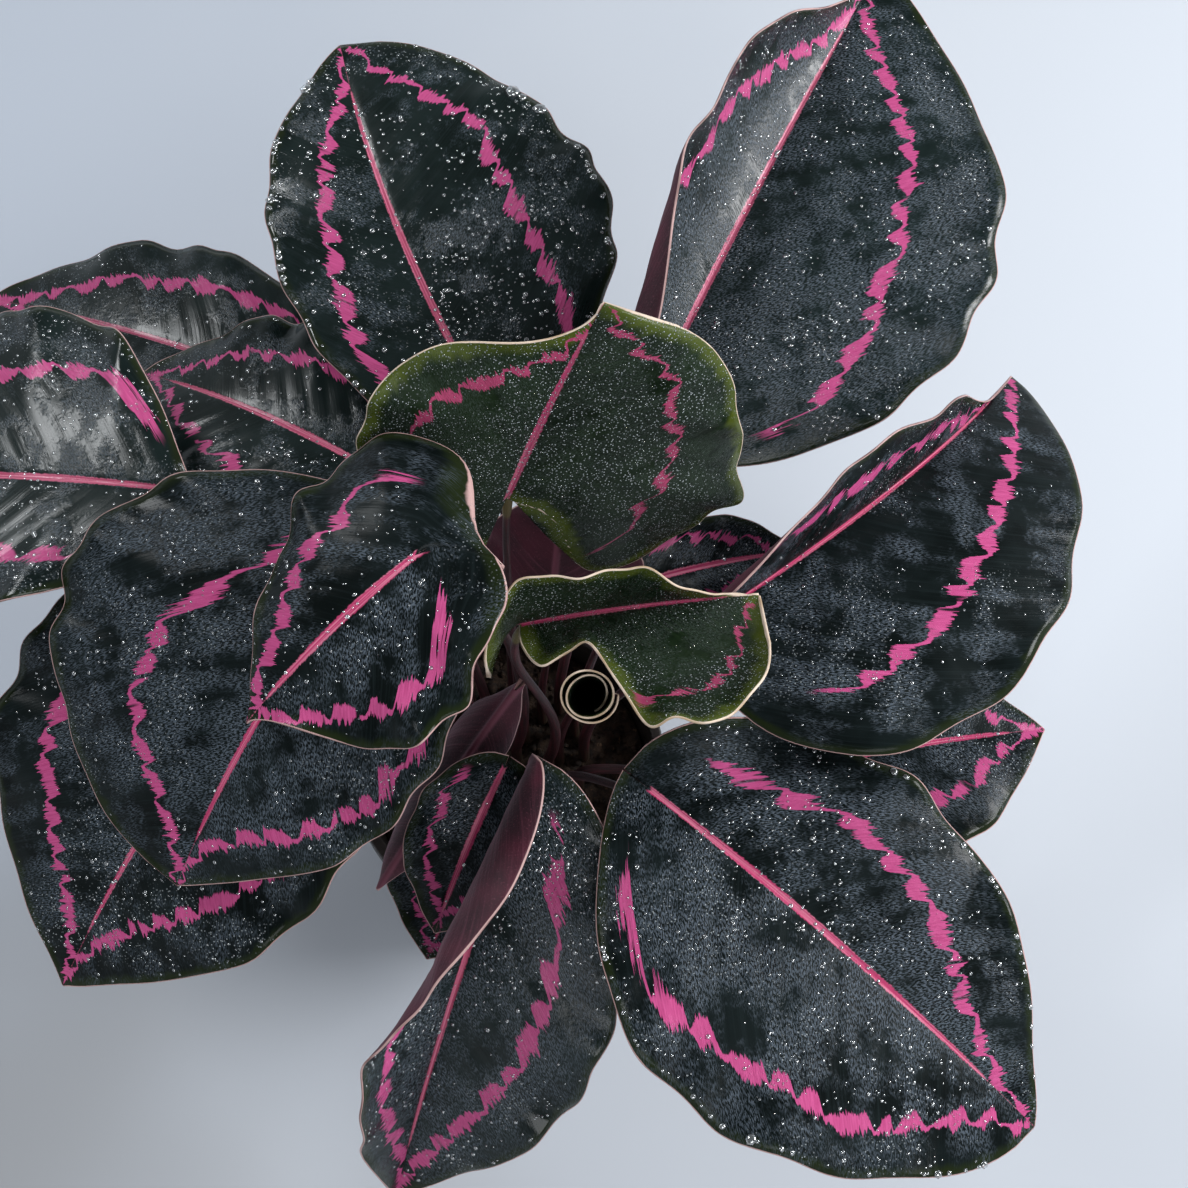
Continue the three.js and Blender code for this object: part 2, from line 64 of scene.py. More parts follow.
# Pale floor, with painted shade: darker on the left, darkest at the near left, palest on the right.
FLOOR_SIZE = 8
FLOOR_NEAR_LEFT_SHADE = (0.35, 0.35, 0.355)
FLOOR_FAR_LEFT_SHADE = (0.47, 0.51, 0.575)
FLOOR_RIGHT = (0.575, 0.605, 0.65)

# Blades, with the form that the solids have. A grid is its rows and half its columns, and NOISE_STRIDE keeps
# the noise on one leaf apart from that on the next.
THICKNESS = 0.6
END_HALF_WIDTH = 0.35
FULLNESS = 0.56
SHOULDER_END = 0.45
BLUNT_START = 0.6
PINCH_SPAN = 0.17
VEIN_SLANT = 0.12
SCALLOP_PACE = 1.6
OPEN_SPAN = 0.05
TURN_SPAN = 0.14
BEND_STEPS = 24
RIPPLE = 0.35
RIPPLE_PACE = 2.3
WAVE_ONSET = 2.5
HALF_SHIFT = 1.7
CURL_CALM = 0.8
CALM_TILT = (1.2, 2.4)
RIB_DEPTH = 1.3
GRID = (110, 32)
SMALL_GRID = (70, 20)
COLUMN_SPREAD = 1.35
MARGIN_STEPS = 120
RIB_THINNING = 0.8
NOISE_STRIDE = 211.0

# Side veins: how far apart they leave the midrib, how they sweep towards the tip, and how the blade is
# quilted between them.
VEIN_SPACING = 9.5
VEIN_SWEEP = (0.55, 0.42)
QUILT_HEIGHT = 0.22
GROOVE_DEPTH = 0.3
GROOVE_HALF_WIDTH = 1.3

# Pink ring: places along the leaf where its distance from the midrib is given, as a share of the half width.
# It is a chain of slanting blocks, thick in the middle and thin where they meet, and its edges are broken by
# slow wandering, by teeth and by fine hairs.
RING_STATIONS = (0.1, 0.3, 0.45, 0.6, 0.75, 0.85, 0.96)
RING_HALF_WIDTH = 1.9
RING_BLOCK = 15.0
RING_STEP = 3.2
RING_THIN = 0.38
RING_SWELL = 1.2
RING_WANDER = 3.4
RING_TEETH = 4.6
RING_HAIRS = 4.0
RING_SPAN = (0.03, 0.985)
RING_STEPS = 150
RING_LIMITS = (0.02, 0.95)
RING_END_SHARE = 0.4
RING_RUN_IN = 0.2
RIB_HALF_WIDTH = 1.4
RIB_END = 0.9

# Petioles, with the line that the solids have.
HOLE_FLOOR = 62
HOLE_GAP = 0.35
SOIL_TOP = 92
PETIOLE_STRAIGHT = 14
PETIOLE_RISE = 0.4
PETIOLE_TURN = 0.25
PETIOLE_STEER = 0.4
PETIOLE_STEPS = (8, 34)
PETIOLE_SIDES = 12
PETIOLE_TAPER = (0.1, 0.9)
PETIOLE_FOOT_RADIUS = 2.3
PETIOLE_TOP_RADIUS = 1.3
JOINT_AT = 0.03
JOINT_SINK = 0.9
PULVINUS_LENGTH = 13
PULVINUS_SWELL = 0.45
PULVINUS_RAMP = 4

# Rolled leaf. NO_RING and NO_JOINT are so far from the ring and the joint that neither shows.
ROLLED = {"name": "leaf_rolled", "mouth": (32.4, -39, 274), "foot": (33, 0, 180), "soil": (20, 4)}
SCROLL_MOUTH_RADIUS = 9
SCROLL_FOOT_RADIUS = 5.2
SCROLL_PITCH = 1.6
SCROLL_TURNS = 2.2
SCROLL_FLAP = 12
SCROLL_PLUG = 4
SCROLL_ROWS = 60
SCROLL_STEPS = 200
SCROLL_SIDES = 20
SCROLL_SWEEP = 0.6
SCROLL_FRILL = 0.5
SCROLL_SQUEEZE = 0.25
NO_RING = 40
NO_JOINT = 30

# Pot and soil.
POT_HEIGHT = 105
POT_FOOT_RADIUS = 44
POT_RIM_RADIUS = 62
POT_WALL = 1.8
POT_FLOOR = 2.2
RIM_DROP = 11
RIM_OVERHANG = 2.6
POT_SIDES = 128
DRAIN_HOLES = 6
DRAIN_RADIUS = 4
DRAIN_CIRCLE = 28
DRAIN_SIDES = 24
SOIL_GAP = 0.3
SOIL_LUMP = 1.6
SOIL_GRIT = 0.5
SOIL_SIDES = 120
CRUMBS = 900
CRUMB_SEED = 7
CRUMB_SIZES = (0.5, 2.6)

# Water drops: the outline of one as radius and height, where they lie, and how they differ. Beads are larger
# ones on the margins.
DROP_SIDES = 6
DROP_LEVELS = ((1, -0.15), (0.86, 0.3), (0.45, 0.54))
DROP_TOP = 0.6
DROP_TRIES = 3
DROP_SEED = 400
DROP_SPAN = (0.04, 0.96)
DROP_REACH = 0.96
DROP_SPREAD = 0.38
DROP_SIZES = (0.45, 2.2)
DROP_LENGTHS = (0.85, 1.2)
DROP_HEIGHTS = (0.7, 1.05)
BEAD_SWELL = 2.3
BEAD_REACH = 0.965
BEAD_SPAN = (0.12, 0.96)

# Each leaf as in the solids: base and tip of the midrib, half widths left and right of it, wave of the
# margins as height, count and phase, foot in the soil, and the rest of its form. ring gives the pink ring of
# the left and the right half at RING_STATIONS, ring_from the share of the length at which it begins, drops
# how many water drops lie on it, and beads how many larger ones hang on its margins.
PLAIN = dict(
    arch=8, bend=0, roll=0, cup=(8, 8), curve=(-14, -14), curl=(0, 0), curl_end=0.5, crisp=1, back=(4, 4),
    open=(0, 0), turn=(0, 0), shoulder=(0.56, 0.56), blunt=(0.9, 0.9), skew=(0.88, 0.88), pinch=(0, 0),
    pinch_at=0.3, scallop=0.018, lean=(0, 0), small=False, drops=300, drop_size=0.42, beads=0,
    ring_width=RING_HALF_WIDTH, ring_from=(0.03, 0.03),
    look="mature", ring=2 * ((0.73, 0.66, 0.61, 0.57, 0.51, 0.35, 0.1),),
)
LEAVES = [
    dict(
        name="leaf_back_left", look="wet", base=(-1, 86, 218), tip=(-62, 236, 245), half=(46, 78),
        wave=(1.6, 4, 0.4), foot=(2, 27), bend=-7, curve=(-18, -18), blunt=(0.8, 0.45), drops=1300,
        drop_size=0.5, beads=60,
        ring=((0.7, 0.7, 0.62, 0.54, 0.46, 0.29, 0.05), (0.78, 0.6, 0.56, 0.57, 0.62, 0.48, 0.24)),
    ),
    dict(
        name="leaf_back_right", look="misted", base=(50, 83, 225), tip=(141, 258, 262), half=(50, 90),
        wave=(1.6, 4, 1.2), foot=(20, 26), cup=(27, 4), curve=(80, -16), curl=(124, 0), curl_end=0.46,
        crisp=3, back=(10, 10), shoulder=(0.42, 0.56), blunt=(2, 0.8), drops=1500, drop_size=0.4, beads=12,
        ring=((0.6, 0.6, 0.63, 0.6, 0.48, 0.36, 0.2), (0.77, 0.68, 0.63, 0.59, 0.52, 0.33, 0.05)),
    ),
    dict(
        name="leaf_right", look="shaded", base=(80, 8, 238), tip=(188, 114, 205), half=(36, 76),
        wave=(1.6, 3, 3.2), foot=(30, 6), arch=11, bend=7, cup=(85, 7), curve=(0, -20), curl=(60, 0),
        curl_end=0.35, crisp=2, back=(18, 23), turn=(0, -9), shoulder=(0.6, 0.35), blunt=(2.3, 0.6),
        skew=(0.5, 0.65), drop_size=0.35,
        ring=((0.6, 0.6, 0.61, 0.58, 0.48, 0.36, 0.2), (0.67, 0.62, 0.58, 0.52, 0.44, 0.34, 0.2)),
    ),
    dict(
        name="leaf_right_low", base=(96, -27, 168), tip=(196, -9, 164), half=(38, 40),
        wave=(1.5, 3, 0.6), foot=(28, -7), arch=6, cup=(6, 6), small=True, drops=80, ring_width=1.6,
    ),
    dict(
        name="leaf_front_right", base=(51, -50, 222), tip=(170, -149, 190), half=(56, 68),
        wave=(2.4, 3, 0), foot=(20, -14), arch=10, curl=(60, 0), curl_end=0.25, back=(10, 10),
        shoulder=(0.56, 0.8), blunt=(0.8, 0.55), drops=1100, drop_size=0.38, beads=60,
        ring=((0.52, 0.5, 0.57, 0.56, 0.42, 0.26, 0.05), (0.66, 0.76, 0.73, 0.7, 0.71, 0.54, 0.25)),
    ),
    dict(
        name="leaf_front", look="misted", base=(14, -43, 222), tip=(-33, -164, 132), half=(52, 38),
        wave=(2.2, 4, 0.8), foot=(6, -17), arch=12, cup=(6, 62), curve=(-12, 10), curl=(0, 120),
        curl_end=0.7, drops=900,
        ring=((0.43, 0.48, 0.55, 0.57, 0.5, 0.41, 0.27), (0.7, 0.7, 0.7, 0.69, 0.65, 0.42, 0.05)),
    ),
    dict(
        name="leaf_left_top", look="shaded", base=(-18, 0, 288), tip=(-69, -43, 262), half=(44, 45),
        wave=(2.5, 3, -3), foot=(3, 5), lean=(14, -4), arch=5, roll=-6, cup=(-8, 3), curve=(12, -35),
        back=(17, 41), open=(0, 0.58), turn=(-16, -20), shoulder=(0.7, 1.05), blunt=(1.4, 0.88),
        skew=(0.98, 0.53), scallop=0.03, drops=260, drop_size=0.33, ring_width=1.7,
        ring=((0.45, 0.64, 0.7, 0.67, 0.6, 0.68, 0.86), (0.62, 0.63, 0.58, 0.61, 0.43, 0.5, 0.4)),
    ),
    dict(
        name="leaf_left_middle", base=(-36, 22, 250), tip=(-101, -75, 198), half=(58, 84),
        wave=(1.8, 4, 1.4), foot=(-12, 9), arch=12, back=(14, 14), shoulder=(0.5, 0.56), blunt=(0.9, 0.5),
        drops=700, drop_size=0.36,
        ring=((0.8, 0.8, 0.84, 0.82, 0.66, 0.41, 0.05), (0.35, 0.36, 0.46, 0.53, 0.51, 0.35, 0.1)),
    ),
    dict(
        name="leaf_left_low", look="shaded", base=(-59, 23, 215), tip=(-148, -98, 153), half=(66, 74),
        wave=(2, 4, 2.4), foot=(-20, 0), arch=14, back=(10, 10), shoulder=(0.5, 0.5), drops=900,
        ring=((0.7, 0.7, 0.73, 0.69, 0.55, 0.37, 0.12), (0.7, 0.7, 0.71, 0.68, 0.56, 0.39, 0.15)),
    ),
    dict(
        name="leaf_far_left", look="wet", base=(-104, 50, 235), tip=(-254, 71, 198), half=(50, 68),
        wave=(2.5, 4, 0.2), foot=(-22, 15), lean=(-10, 14), arch=10, shoulder=(0.7, 1.1), drops=1000,
    ),
    dict(
        name="leaf_far_left_low", look="wet", base=(-66, 113, 190), tip=(-208, 170, 175),
        half=(46, 46), wave=(2, 4, 1.1), foot=(-16, 27), cup=(6, 6), small=True, drops=200,
    ),
    dict(
        name="leaf_left_back", look="wet", base=(-43, 71, 210), tip=(-136, 122, 195), half=(38, 44),
        wave=(2, 4, 0.9), foot=(-8, 20), cup=(6, 6), drops=260, drop_size=0.45, ring_width=1.5,
    ),
    dict(
        name="leaf_young_centre", look="young", base=(5, 43, 242), tip=(37, 72, 312), half=(55, 83),
        wave=(2.5, 3, -1.9), foot=(6, 14), arch=2, roll=40, cup=(21, -2), curve=(-16, -36), back=(24, 46),
        open=(0, 1), shoulder=(0.5, 0.65), blunt=(2.4, 0.3), scallop=0.02, drops=1500, drop_size=0.17,
        ring_width=1.35,
        ring=((0.69, 0.69, 0.7, 0.61, 0.33, 0.27, 0.15), (0.77, 0.6, 0.57, 0.61, 0.57, 0.57, 0.12)),
    ),
    dict(
        name="leaf_young_right", look="young", base=(11, -9, 257), tip=(84, -4, 268), half=(26, 65),
        wave=(2, 3, 0.2), foot=(16, 0), lean=(14, 2), arch=3, cup=(81, 16), curve=(9, 34), back=(10, 0),
        turn=(16, 2), shoulder=(1.2, 0.44), blunt=(2.4, 0.28), skew=(0.5, 1.5), pinch=(0, 0.57),
        scallop=0.025, drops=700, drop_size=0.17, ring_width=1.1, ring_from=(1.1, 0.42),
        ring=((0.6, 0.6, 0.6, 0.6, 0.6, 0.5, 0.1), (0.83, 0.83, 0.83, 0.72, 0.65, 0.63, 0.14)),
    ),
    dict(
        name="leaf_small_front", base=(4, -34, 196), tip=(-20, -83, 166), half=(26, 22),
        wave=(1.5, 3, 0.2), foot=(-2, -14), lean=(4, -6), arch=5, curve=(-8, -8), small=True, drops=60,
        ring_width=1,
    ),
    dict(
        name="leaf_small_front_low", base=(-2, -38, 152), tip=(-26, -84, 130), half=(24, 28),
        wave=(1.2, 3, 1.2), foot=(-10, -18), arch=4, curve=(-8, -8), small=True, drops=60, ring_width=1,
    ),
    dict(
        name="leaf_half_rolled", base=(7, -4, 190), tip=(-43, -63, 147), half=(24, 15),
        wave=(1, 3, 0.5), foot=(-9, -4), arch=3, roll=180, cup=(10, 10), curve=(70, 70), shoulder=(1, 1),
        small=True, drops=0,
    ),
    dict(
        name="leaf_upright_back", base=(18, 26, 168), tip=(24, 60, 222), half=(32, 30),
        wave=(1, 3, 1.5), foot=(13, 22), arch=4, roll=180, curve=(20, 20), small=True, drops=0,
    ),
    dict(
        name="leaf_small_back", base=(46, 44, 172), tip=(110, 53, 184), half=(20, 22),
        wave=(1, 3, 0.9), foot=(26, 16), arch=4, cup=(10, 10), small=True, drops=40, ring_width=1,
    ),
]


# Geometry helpers

def unit(vectors):
    return vectors / np.maximum(np.linalg.norm(vectors, axis=-1, keepdims=True), 1e-12)


def blend(low, high, share):
    return low + (high - low) * share


def smoothstep(value, low, high):
    share = np.clip((value - low) / (high - low), 0, 1)
    return share * share * (3 - 2 * share)


def through(places, stations, values):
    """A smooth line through a few values: cubic between stations, straight beyond them."""
    slopes = np.gradient(values, stations)
    at = np.clip(np.searchsorted(stations, places) - 1, 0, len(stations) - 2)
    span = np.diff(stations)[at]
    share = np.clip((places - np.take(stations, at)) / span, 0, 1)
    low, high = np.take(values, at), np.take(values, at + 1)
    rise, fall = np.take(slopes, at) * span, np.take(slopes, at + 1) * span
    square = share * share
    cube = square * share
    return (
        low * (2 * cube - 3 * square + 1) + rise * (cube - 2 * square + share)
        + high * (3 * square - 2 * cube) + fall * (cube - square)
    )


def circle(sides, radius=1.0, height=0.0):
    """Points once round an upright axis."""
    angles = np.arange(sides) * TAU / sides
    return np.stack([radius * np.cos(angles), radius * np.sin(angles), height + 0 * angles], axis=1)


def bell(value, width):
    return np.exp(-((value / width) ** 2))


def of_half(pair, across):
    """The left or the right value of a pair, by the side of the midrib."""
    return np.where(across < 0, pair[0], pair[1])


class Leaf:
    """A leaf's form, with the curved line of its midrib and the blade's frame along it."""

    def __init__(self, number, form):
        vars(self).update(PLAIN | form)
        self.number = number
        self.base = np.array(self.base, float)
        self.tip = np.array(self.tip, float)
        self.roll = math.radians(self.roll)
        chord = unit(self.tip - self.base)
        side = unit(np.cross(chord, UP))
        rise = np.cross(side, chord)
        self.middle = (self.base + self.tip) / 2 + 2 * self.arch * rise + 2 * self.bend * side
        steps = self.point(np.linspace(0, 1, 201))
        self.length = np.linalg.norm(np.diff(steps, axis=0), axis=1).sum()

    def point(self, share):
        t = share[..., None]
        return (1 - t) ** 2 * self.base + 2 * t * (1 - t) * self.middle + t * t * self.tip

    def frame(self, distance):
        share = np.clip(distance / self.length, 0, 1)
        t = share[..., None]
        tangent = unit((1 - t) * (self.middle - self.base) + t * (self.tip - self.middle))
        point = self.point(share) + np.minimum(distance, 0)[..., None] * tangent
        flat = unit(np.cross(tangent, UP))
        up = np.cross(flat, tangent)
        side = flat * math.cos(self.roll) - up * math.sin(self.roll)
        normal = up * math.cos(self.roll) + flat * math.sin(self.roll)
        return point, side, normal, tangent


def half_width(leaf, along, across):
    """Half width of the blade at a share of its length, with its lightly scalloped margin."""
    swell = np.maximum(np.sin(np.pi * along ** of_half(leaf.skew, across)), 0)
    shoulder = blend(of_half(leaf.shoulder, across), FULLNESS, smoothstep(along, 0, SHOULDER_END))
    full = swell ** blend(shoulder, of_half(leaf.blunt, across), smoothstep(along, BLUNT_START, 1))
    dent = bell(along - leaf.pinch_at, PINCH_SPAN)
    full = full * (1 - of_half(leaf.pinch, across) * dent)
    lobes = np.sin(SCALLOP_PACE * wave_turn(leaf, along, across) + 1)
    scallop = 1 + leaf.scallop * edge_fade(along) * lobes
    return np.maximum(of_half(leaf.half, across) * full * scallop, END_HALF_WIDTH)


def edge_fade(along):
    return np.sqrt(np.maximum(np.sin(np.pi * along), 0))


def wave_turn(leaf, along, across):
    _, count, phase = leaf.wave
    return TAU * count * along + phase + HALF_SHIFT * (across >= 0)


def tilt_at(leaf, along, across, out):
    """Tilt of a half blade at a share of its width, from the flat."""
    curl = of_half(leaf.curl, across) * (1 - smoothstep(along, 0, leaf.curl_end))
    tilt = of_half(leaf.cup, across) + of_half(leaf.curve, across) * out
    return np.radians(tilt + curl * out ** leaf.crisp)


def bent_reach(leaf, along, across, out):
    """How far a half blade reaches sideways and up, for a half width of 1."""
    sideways = np.zeros_like(out)
    height = np.zeros_like(out)
    for step in range(BEND_STEPS):
        tilt = tilt_at(leaf, along, across, out * (step + 0.5) / BEND_STEPS)
        sideways += out * np.cos(tilt) / BEND_STEPS
        height += out * np.sin(tilt) / BEND_STEPS
    return sideways, height


def blade(leaf, along, across):
    """Points of the blade, with their flat places: distance along the midrib and distance out from it."""
    out = np.abs(across)
    opened = of_half(leaf.open, across) * bell(along, OPEN_SPAN)
    margin_at = blend(-of_half(leaf.back, across) * (1 - opened), leaf.length, along)
    vein_at = leaf.length * (along - VEIN_SLANT * np.sin(np.pi * along))
    width = half_width(leaf, along, across)
    sideways, height = bent_reach(leaf, along, across, out)
    tilt = tilt_at(leaf, along, across, out)
    calm = 1 - CURL_CALM * smoothstep(tilt, *CALM_TILT)
    turn = wave_turn(leaf, along, across)
    ripple = np.sin(turn) + RIPPLE * np.sin(RIPPLE_PACE * turn + 2)
    wave = leaf.wave[0] * calm * edge_fade(along) * out ** WAVE_ONSET * ripple
    run = blend(vein_at, margin_at, out)
    point, side, normal, _ = leaf.frame(run)
    swing = of_half(leaf.turn, across) * out ** 2 * bell(along, TURN_SPAN)
    shift = np.sign(across) * (width * sideways - wave * np.sin(tilt)) + swing
    lift = width * height + wave * np.cos(tilt)
    return point + side * shift[..., None] + normal * lift[..., None], run, out * width


def grid_normals(points):
    forward = np.gradient(points, axis=0)
    sideways = np.gradient(points, axis=1)
    return unit(np.cross(sideways, forward))


def grid_faces(rows, columns, start=0, flip=False):
    corner = (np.arange(rows - 1)[:, None] * columns + np.arange(columns - 1)[None, :]).ravel() + start
    quads = np.stack([corner, corner + 1, corner + columns + 1, corner + columns], axis=1)
    return quads[:, ::-1] if flip else quads


def loop_faces(first, second):
    """Quads between two closed loops of points that run the same way."""
    return np.stack([first, second, np.roll(second, -1), np.roll(first, -1)], axis=1)


def margin_loop(rows, columns):
    """The grid's outer points, once round."""
    grid = np.arange(rows * columns).reshape(rows, columns)
    return np.concatenate([grid[0, :-1], grid[:-1, -1], grid[-1, :0:-1], grid[:0:-1, 0]])


class Piece:
    """Collects the parts of one mesh: points, faces with their material, and two marks for each point."""

    def __init__(self):
        self.points, self.place, self.marks = [], [], []
        self.faces, self.slots = [], []
        self.count = 0

    def add_points(self, points, place=None, marks=None):
        points = points.reshape(-1, 3)
        blank = np.zeros_like(points)
        self.points.append(points)
        self.place.append(blank if place is None else place.reshape(-1, 3))
        self.marks.append(blank if marks is None else marks.reshape(-1, 3))
        self.count += len(points)
        return self.count - len(points)

    def add_faces(self, faces, slot=0):
        faces = [tuple(face) for face in np.asarray(faces).tolist()]
        self.faces += faces
        self.slots += [slot] * len(faces)

    def make(self, name, materials):
        mesh = bpy.data.meshes.new(name)
        mesh.from_pydata(np.concatenate(self.points) * MM, [], self.faces)
        for material in materials:
            mesh.materials.append(material)
        mesh.polygons.foreach_set("material_index", self.slots)
        mesh.polygons.foreach_set("use_smooth", [True] * len(self.faces))
        for title, values in (("place", self.place), ("marks", self.marks)):
            layer = mesh.attributes.new(title, "FLOAT_VECTOR", "POINT")
            layer.data.foreach_set("vector", np.concatenate(values).astype(np.float32).ravel())
        mesh.update()
        piece = bpy.data.objects.new(name, mesh)
        bpy.context.scene.collection.objects.link(piece)
        return piece


def settle(piece, node):
    """Makes a piece ride with the plant and stand for its solid."""
    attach(piece, "root")
    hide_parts(node)


def tube(piece, line, radii, sides, slot, place):
    """A closed tube along a line of points, with a radius and a mark for each."""
    tangents = unit(np.gradient(line, axis=0))
    across = unit(np.cross(tangents[0], [0.3, 1.0, 0.2]))
    rings = []
    for point, tangent, radius in zip(line, tangents, radii):
        across = unit(across - tangent * (across @ tangent))
        along = np.cross(tangent, across)
        angles = np.arange(sides) * TAU / sides
        rings.append(point + radius * (np.cos(angles)[:, None] * across + np.sin(angles)[:, None] * along))
    place = np.repeat(place[:, None, :], sides, axis=1)
    place[:, :, 1] += np.arange(sides)
    start = piece.add_points(np.array(rings), place)
    loops = np.arange(len(line) * sides).reshape(len(line), sides) + start
    for lower, upper in zip(loops[:-1], loops[1:]):
        piece.add_faces(loop_faces(upper, lower), slot)
    piece.add_faces([loops[0][::-1], loops[-1]], slot)


def add_sheet(piece, top, bottom, place, marks):
    """A closed sheet of three materials: its top, its underside and its edge."""
    shape = top.shape[:2]
    piece.add_points(top, place, marks)
    under = piece.add_points(bottom, place, marks)
    piece.add_faces(grid_faces(*shape), 0)
    piece.add_faces(grid_faces(*shape, start=under, flip=True), 1)
    loop = margin_loop(*shape)
    piece.add_faces(loop_faces(loop, loop + under), 2)


# Leaves

def vein_place(leaf, run, out, across):
    """Where a point's side vein leaves the midrib. Side veins sweep forward on their way out."""
    half = of_half(leaf.half, across)
    share = out / half
    return run - half * (VEIN_SWEEP[0] * share + VEIN_SWEEP[1] * share ** 2)


def line_distance(leaf, stations, line_across, run, out):
    """Distance of points from a line on the blade, measured with the blade laid flat."""
    _, line_run, line_out = blade(leaf, stations, line_across)
    places = np.stack([run, out], axis=-1)[:, None]
    line = np.stack([line_run, line_out], axis=-1)
    steps = np.diff(line, axis=0)
    share = ((places - line[:-1]) * steps).sum(axis=-1) / np.maximum((steps ** 2).sum(axis=-1), 1e-9)
    nearest = line[:-1] + np.clip(share, 0, 1)[..., None] * steps
    return np.linalg.norm(places - nearest, axis=-1).min(axis=1)


def edge_distance(leaf, across, run, out):
    """Distance of each point from the margin on its own side of the midrib."""
    distance = np.zeros_like(run)
    stations = np.linspace(0, 1, MARGIN_STEPS)
    for side, mine in ((-1, across < 0), (1, across >= 0)):
        distance[mine] = line_distance(leaf, stations, np.full_like(stations, side), run[mine], out[mine])
    return distance


def ring_distance(leaf, along, across, run, out):
    """Distance of each point from the middle of the pink ring, less than zero inside it."""
    distance = np.zeros_like(run)
    stations = np.linspace(*RING_SPAN, RING_STEPS)
    for side, values, mine in ((-1, leaf.ring[0], across < 0), (1, leaf.ring[1], across >= 0)):
        share = np.clip(through(stations, RING_STATIONS, values), *RING_LIMITS)
        near = line_distance(leaf, stations, side * share, run[mine], out[mine])
        inside = np.abs(across[mine]) < through(along[mine], RING_STATIONS, values)
        distance[mine] = np.where(inside, -near, near)
    return distance


def quilt(vein, out, edge, along):
    """Low pillows of the blade between its side veins."""
    pillow = np.abs(np.sin(np.pi * vein / VEIN_SPACING)) - 0.6
    calm = smoothstep(out, 1.5, 9) * smoothstep(edge, 0, 8) * smoothstep(along, 0, 0.08)
    return QUILT_HEIGHT * pillow * calm


def blade_sheet(leaf, along, across):
    """The blade's top and underside, with the marks that its materials read."""
    points, run, out = blade(leaf, along, across)
    normals = grid_normals(points)
    edge = edge_distance(leaf, across, run, out)
    vein = vein_place(leaf, run, out, across)
    relief = quilt(vein, out, edge, along)
    groove = GROOVE_DEPTH * bell(out, GROOVE_HALF_WIDTH) * smoothstep(1 - along, 0, 0.2)
    rib = RIB_DEPTH * (1 - RIB_THINNING * along) * bell(out, GROOVE_HALF_WIDTH)
    top = points + normals * (THICKNESS / 2 + relief - groove)[..., None]
    bottom = points - normals * (THICKNESS / 2 - relief + rib)[..., None]
    place = np.stack([vein + NOISE_STRIDE * leaf.number, out * np.sign(across), along], axis=-1)
    ring = ring_distance(leaf, along, across, run, out)
    start = of_half(leaf.ring_from, across)
    ring_width = leaf.ring_width * blend(RING_END_SHARE, 1, edge_fade(along))
    ring_width = ring_width * smoothstep(along, start, start + RING_RUN_IN)
    marks = np.stack([ring, ring_width, edge], axis=-1)
    return top, bottom, place, marks


def petiole_line(foot, end, direction, lean):
    """Upright out of its hole, then curving over to where the blade starts."""
    start = np.array([foot[0], foot[1], HOLE_FLOOR + HOLE_GAP])
    surface = np.array([foot[0], foot[1], SOIL_TOP + PETIOLE_STRAIGHT], float)
    rise = end[2] - surface[2]
    low = surface + np.array([lean[0], lean[1], PETIOLE_RISE * rise])
    high = end - direction * PETIOLE_TURN * rise
    straight = start + (surface - start) * np.linspace(0, 1, PETIOLE_STEPS[0])[:-1, None]
    t = np.linspace(0, 1, PETIOLE_STEPS[1])[:, None]
    curve = (1 - t) ** 3 * surface + 3 * t * (1 - t) ** 2 * low + 3 * t * t * (1 - t) * high + t ** 3 * end
    return np.concatenate([straight, curve])


def taper(line):
    """For each point of a petiole's line, its distance from the foot, the same as a share, and the radius."""
    run = np.concatenate([[0], np.cumsum(np.linalg.norm(np.diff(line, axis=0), axis=1))])
    share = run / run[-1]
    return run, share, blend(PETIOLE_FOOT_RADIUS, PETIOLE_TOP_RADIUS, smoothstep(share, *PETIOLE_TAPER))


def add_petiole(piece, line, slot):
    """A tapering stalk whose last stretch below the blade is a thicker, paler joint with a rounded end."""
    run, _, radii = taper(line)
    left = run[-1] - run
    radii = radii + PULVINUS_SWELL * smoothstep(PULVINUS_LENGTH - left, 0, PULVINUS_RAMP)
    radii = radii * np.where(left < 0.5, 0.6, 1)
    tube(piece, line, radii, PETIOLE_SIDES, slot, np.stack([run, 0 * run, left], axis=1))


def leaf_piece(leaf, materials):
    rows, half = SMALL_GRID if leaf.small else GRID
    columns = np.linspace(0, 1, half + 1) ** COLUMN_SPREAD
    across = np.concatenate([-columns[:0:-1], columns])
    along, across = np.meshgrid(np.linspace(0, 1, rows + 1), across, indexing="ij")
    piece = Piece()
    add_sheet(piece, *blade_sheet(leaf, along, across))
    point, _, normal, tangent = (part[0] for part in leaf.frame(np.array([JOINT_AT * leaf.length])))
    end = point - normal * JOINT_SINK * PETIOLE_TOP_RADIUS
    steer = unit(blend(UP, tangent, PETIOLE_STEER))
    add_petiole(piece, petiole_line(leaf.foot, end, steer, leaf.lean), 3)
    made = piece.make(leaf.name + "_blade", materials)
    settle(made, leaf.name)


# Water drops

def dome():
    """A flat bottomed drop of unit radius, as points and faces."""
    ring = circle(DROP_SIDES)
    points = np.concatenate([ring * wide + [0, 0, high] for wide, high in DROP_LEVELS] + [[[0, 0, DROP_TOP]]])
    low = np.arange(DROP_SIDES)
    top = DROP_SIDES * (len(DROP_LEVELS) - 1)
    faces = []
    for level in range(0, top, DROP_SIDES):
        faces += loop_faces(low + level + DROP_SIDES, low + level).tolist()
    faces += [(top + k, top + (k + 1) % DROP_SIDES, top + DROP_SIDES) for k in range(DROP_SIDES)]
    faces.append(low[::-1].tolist())
    return points, faces


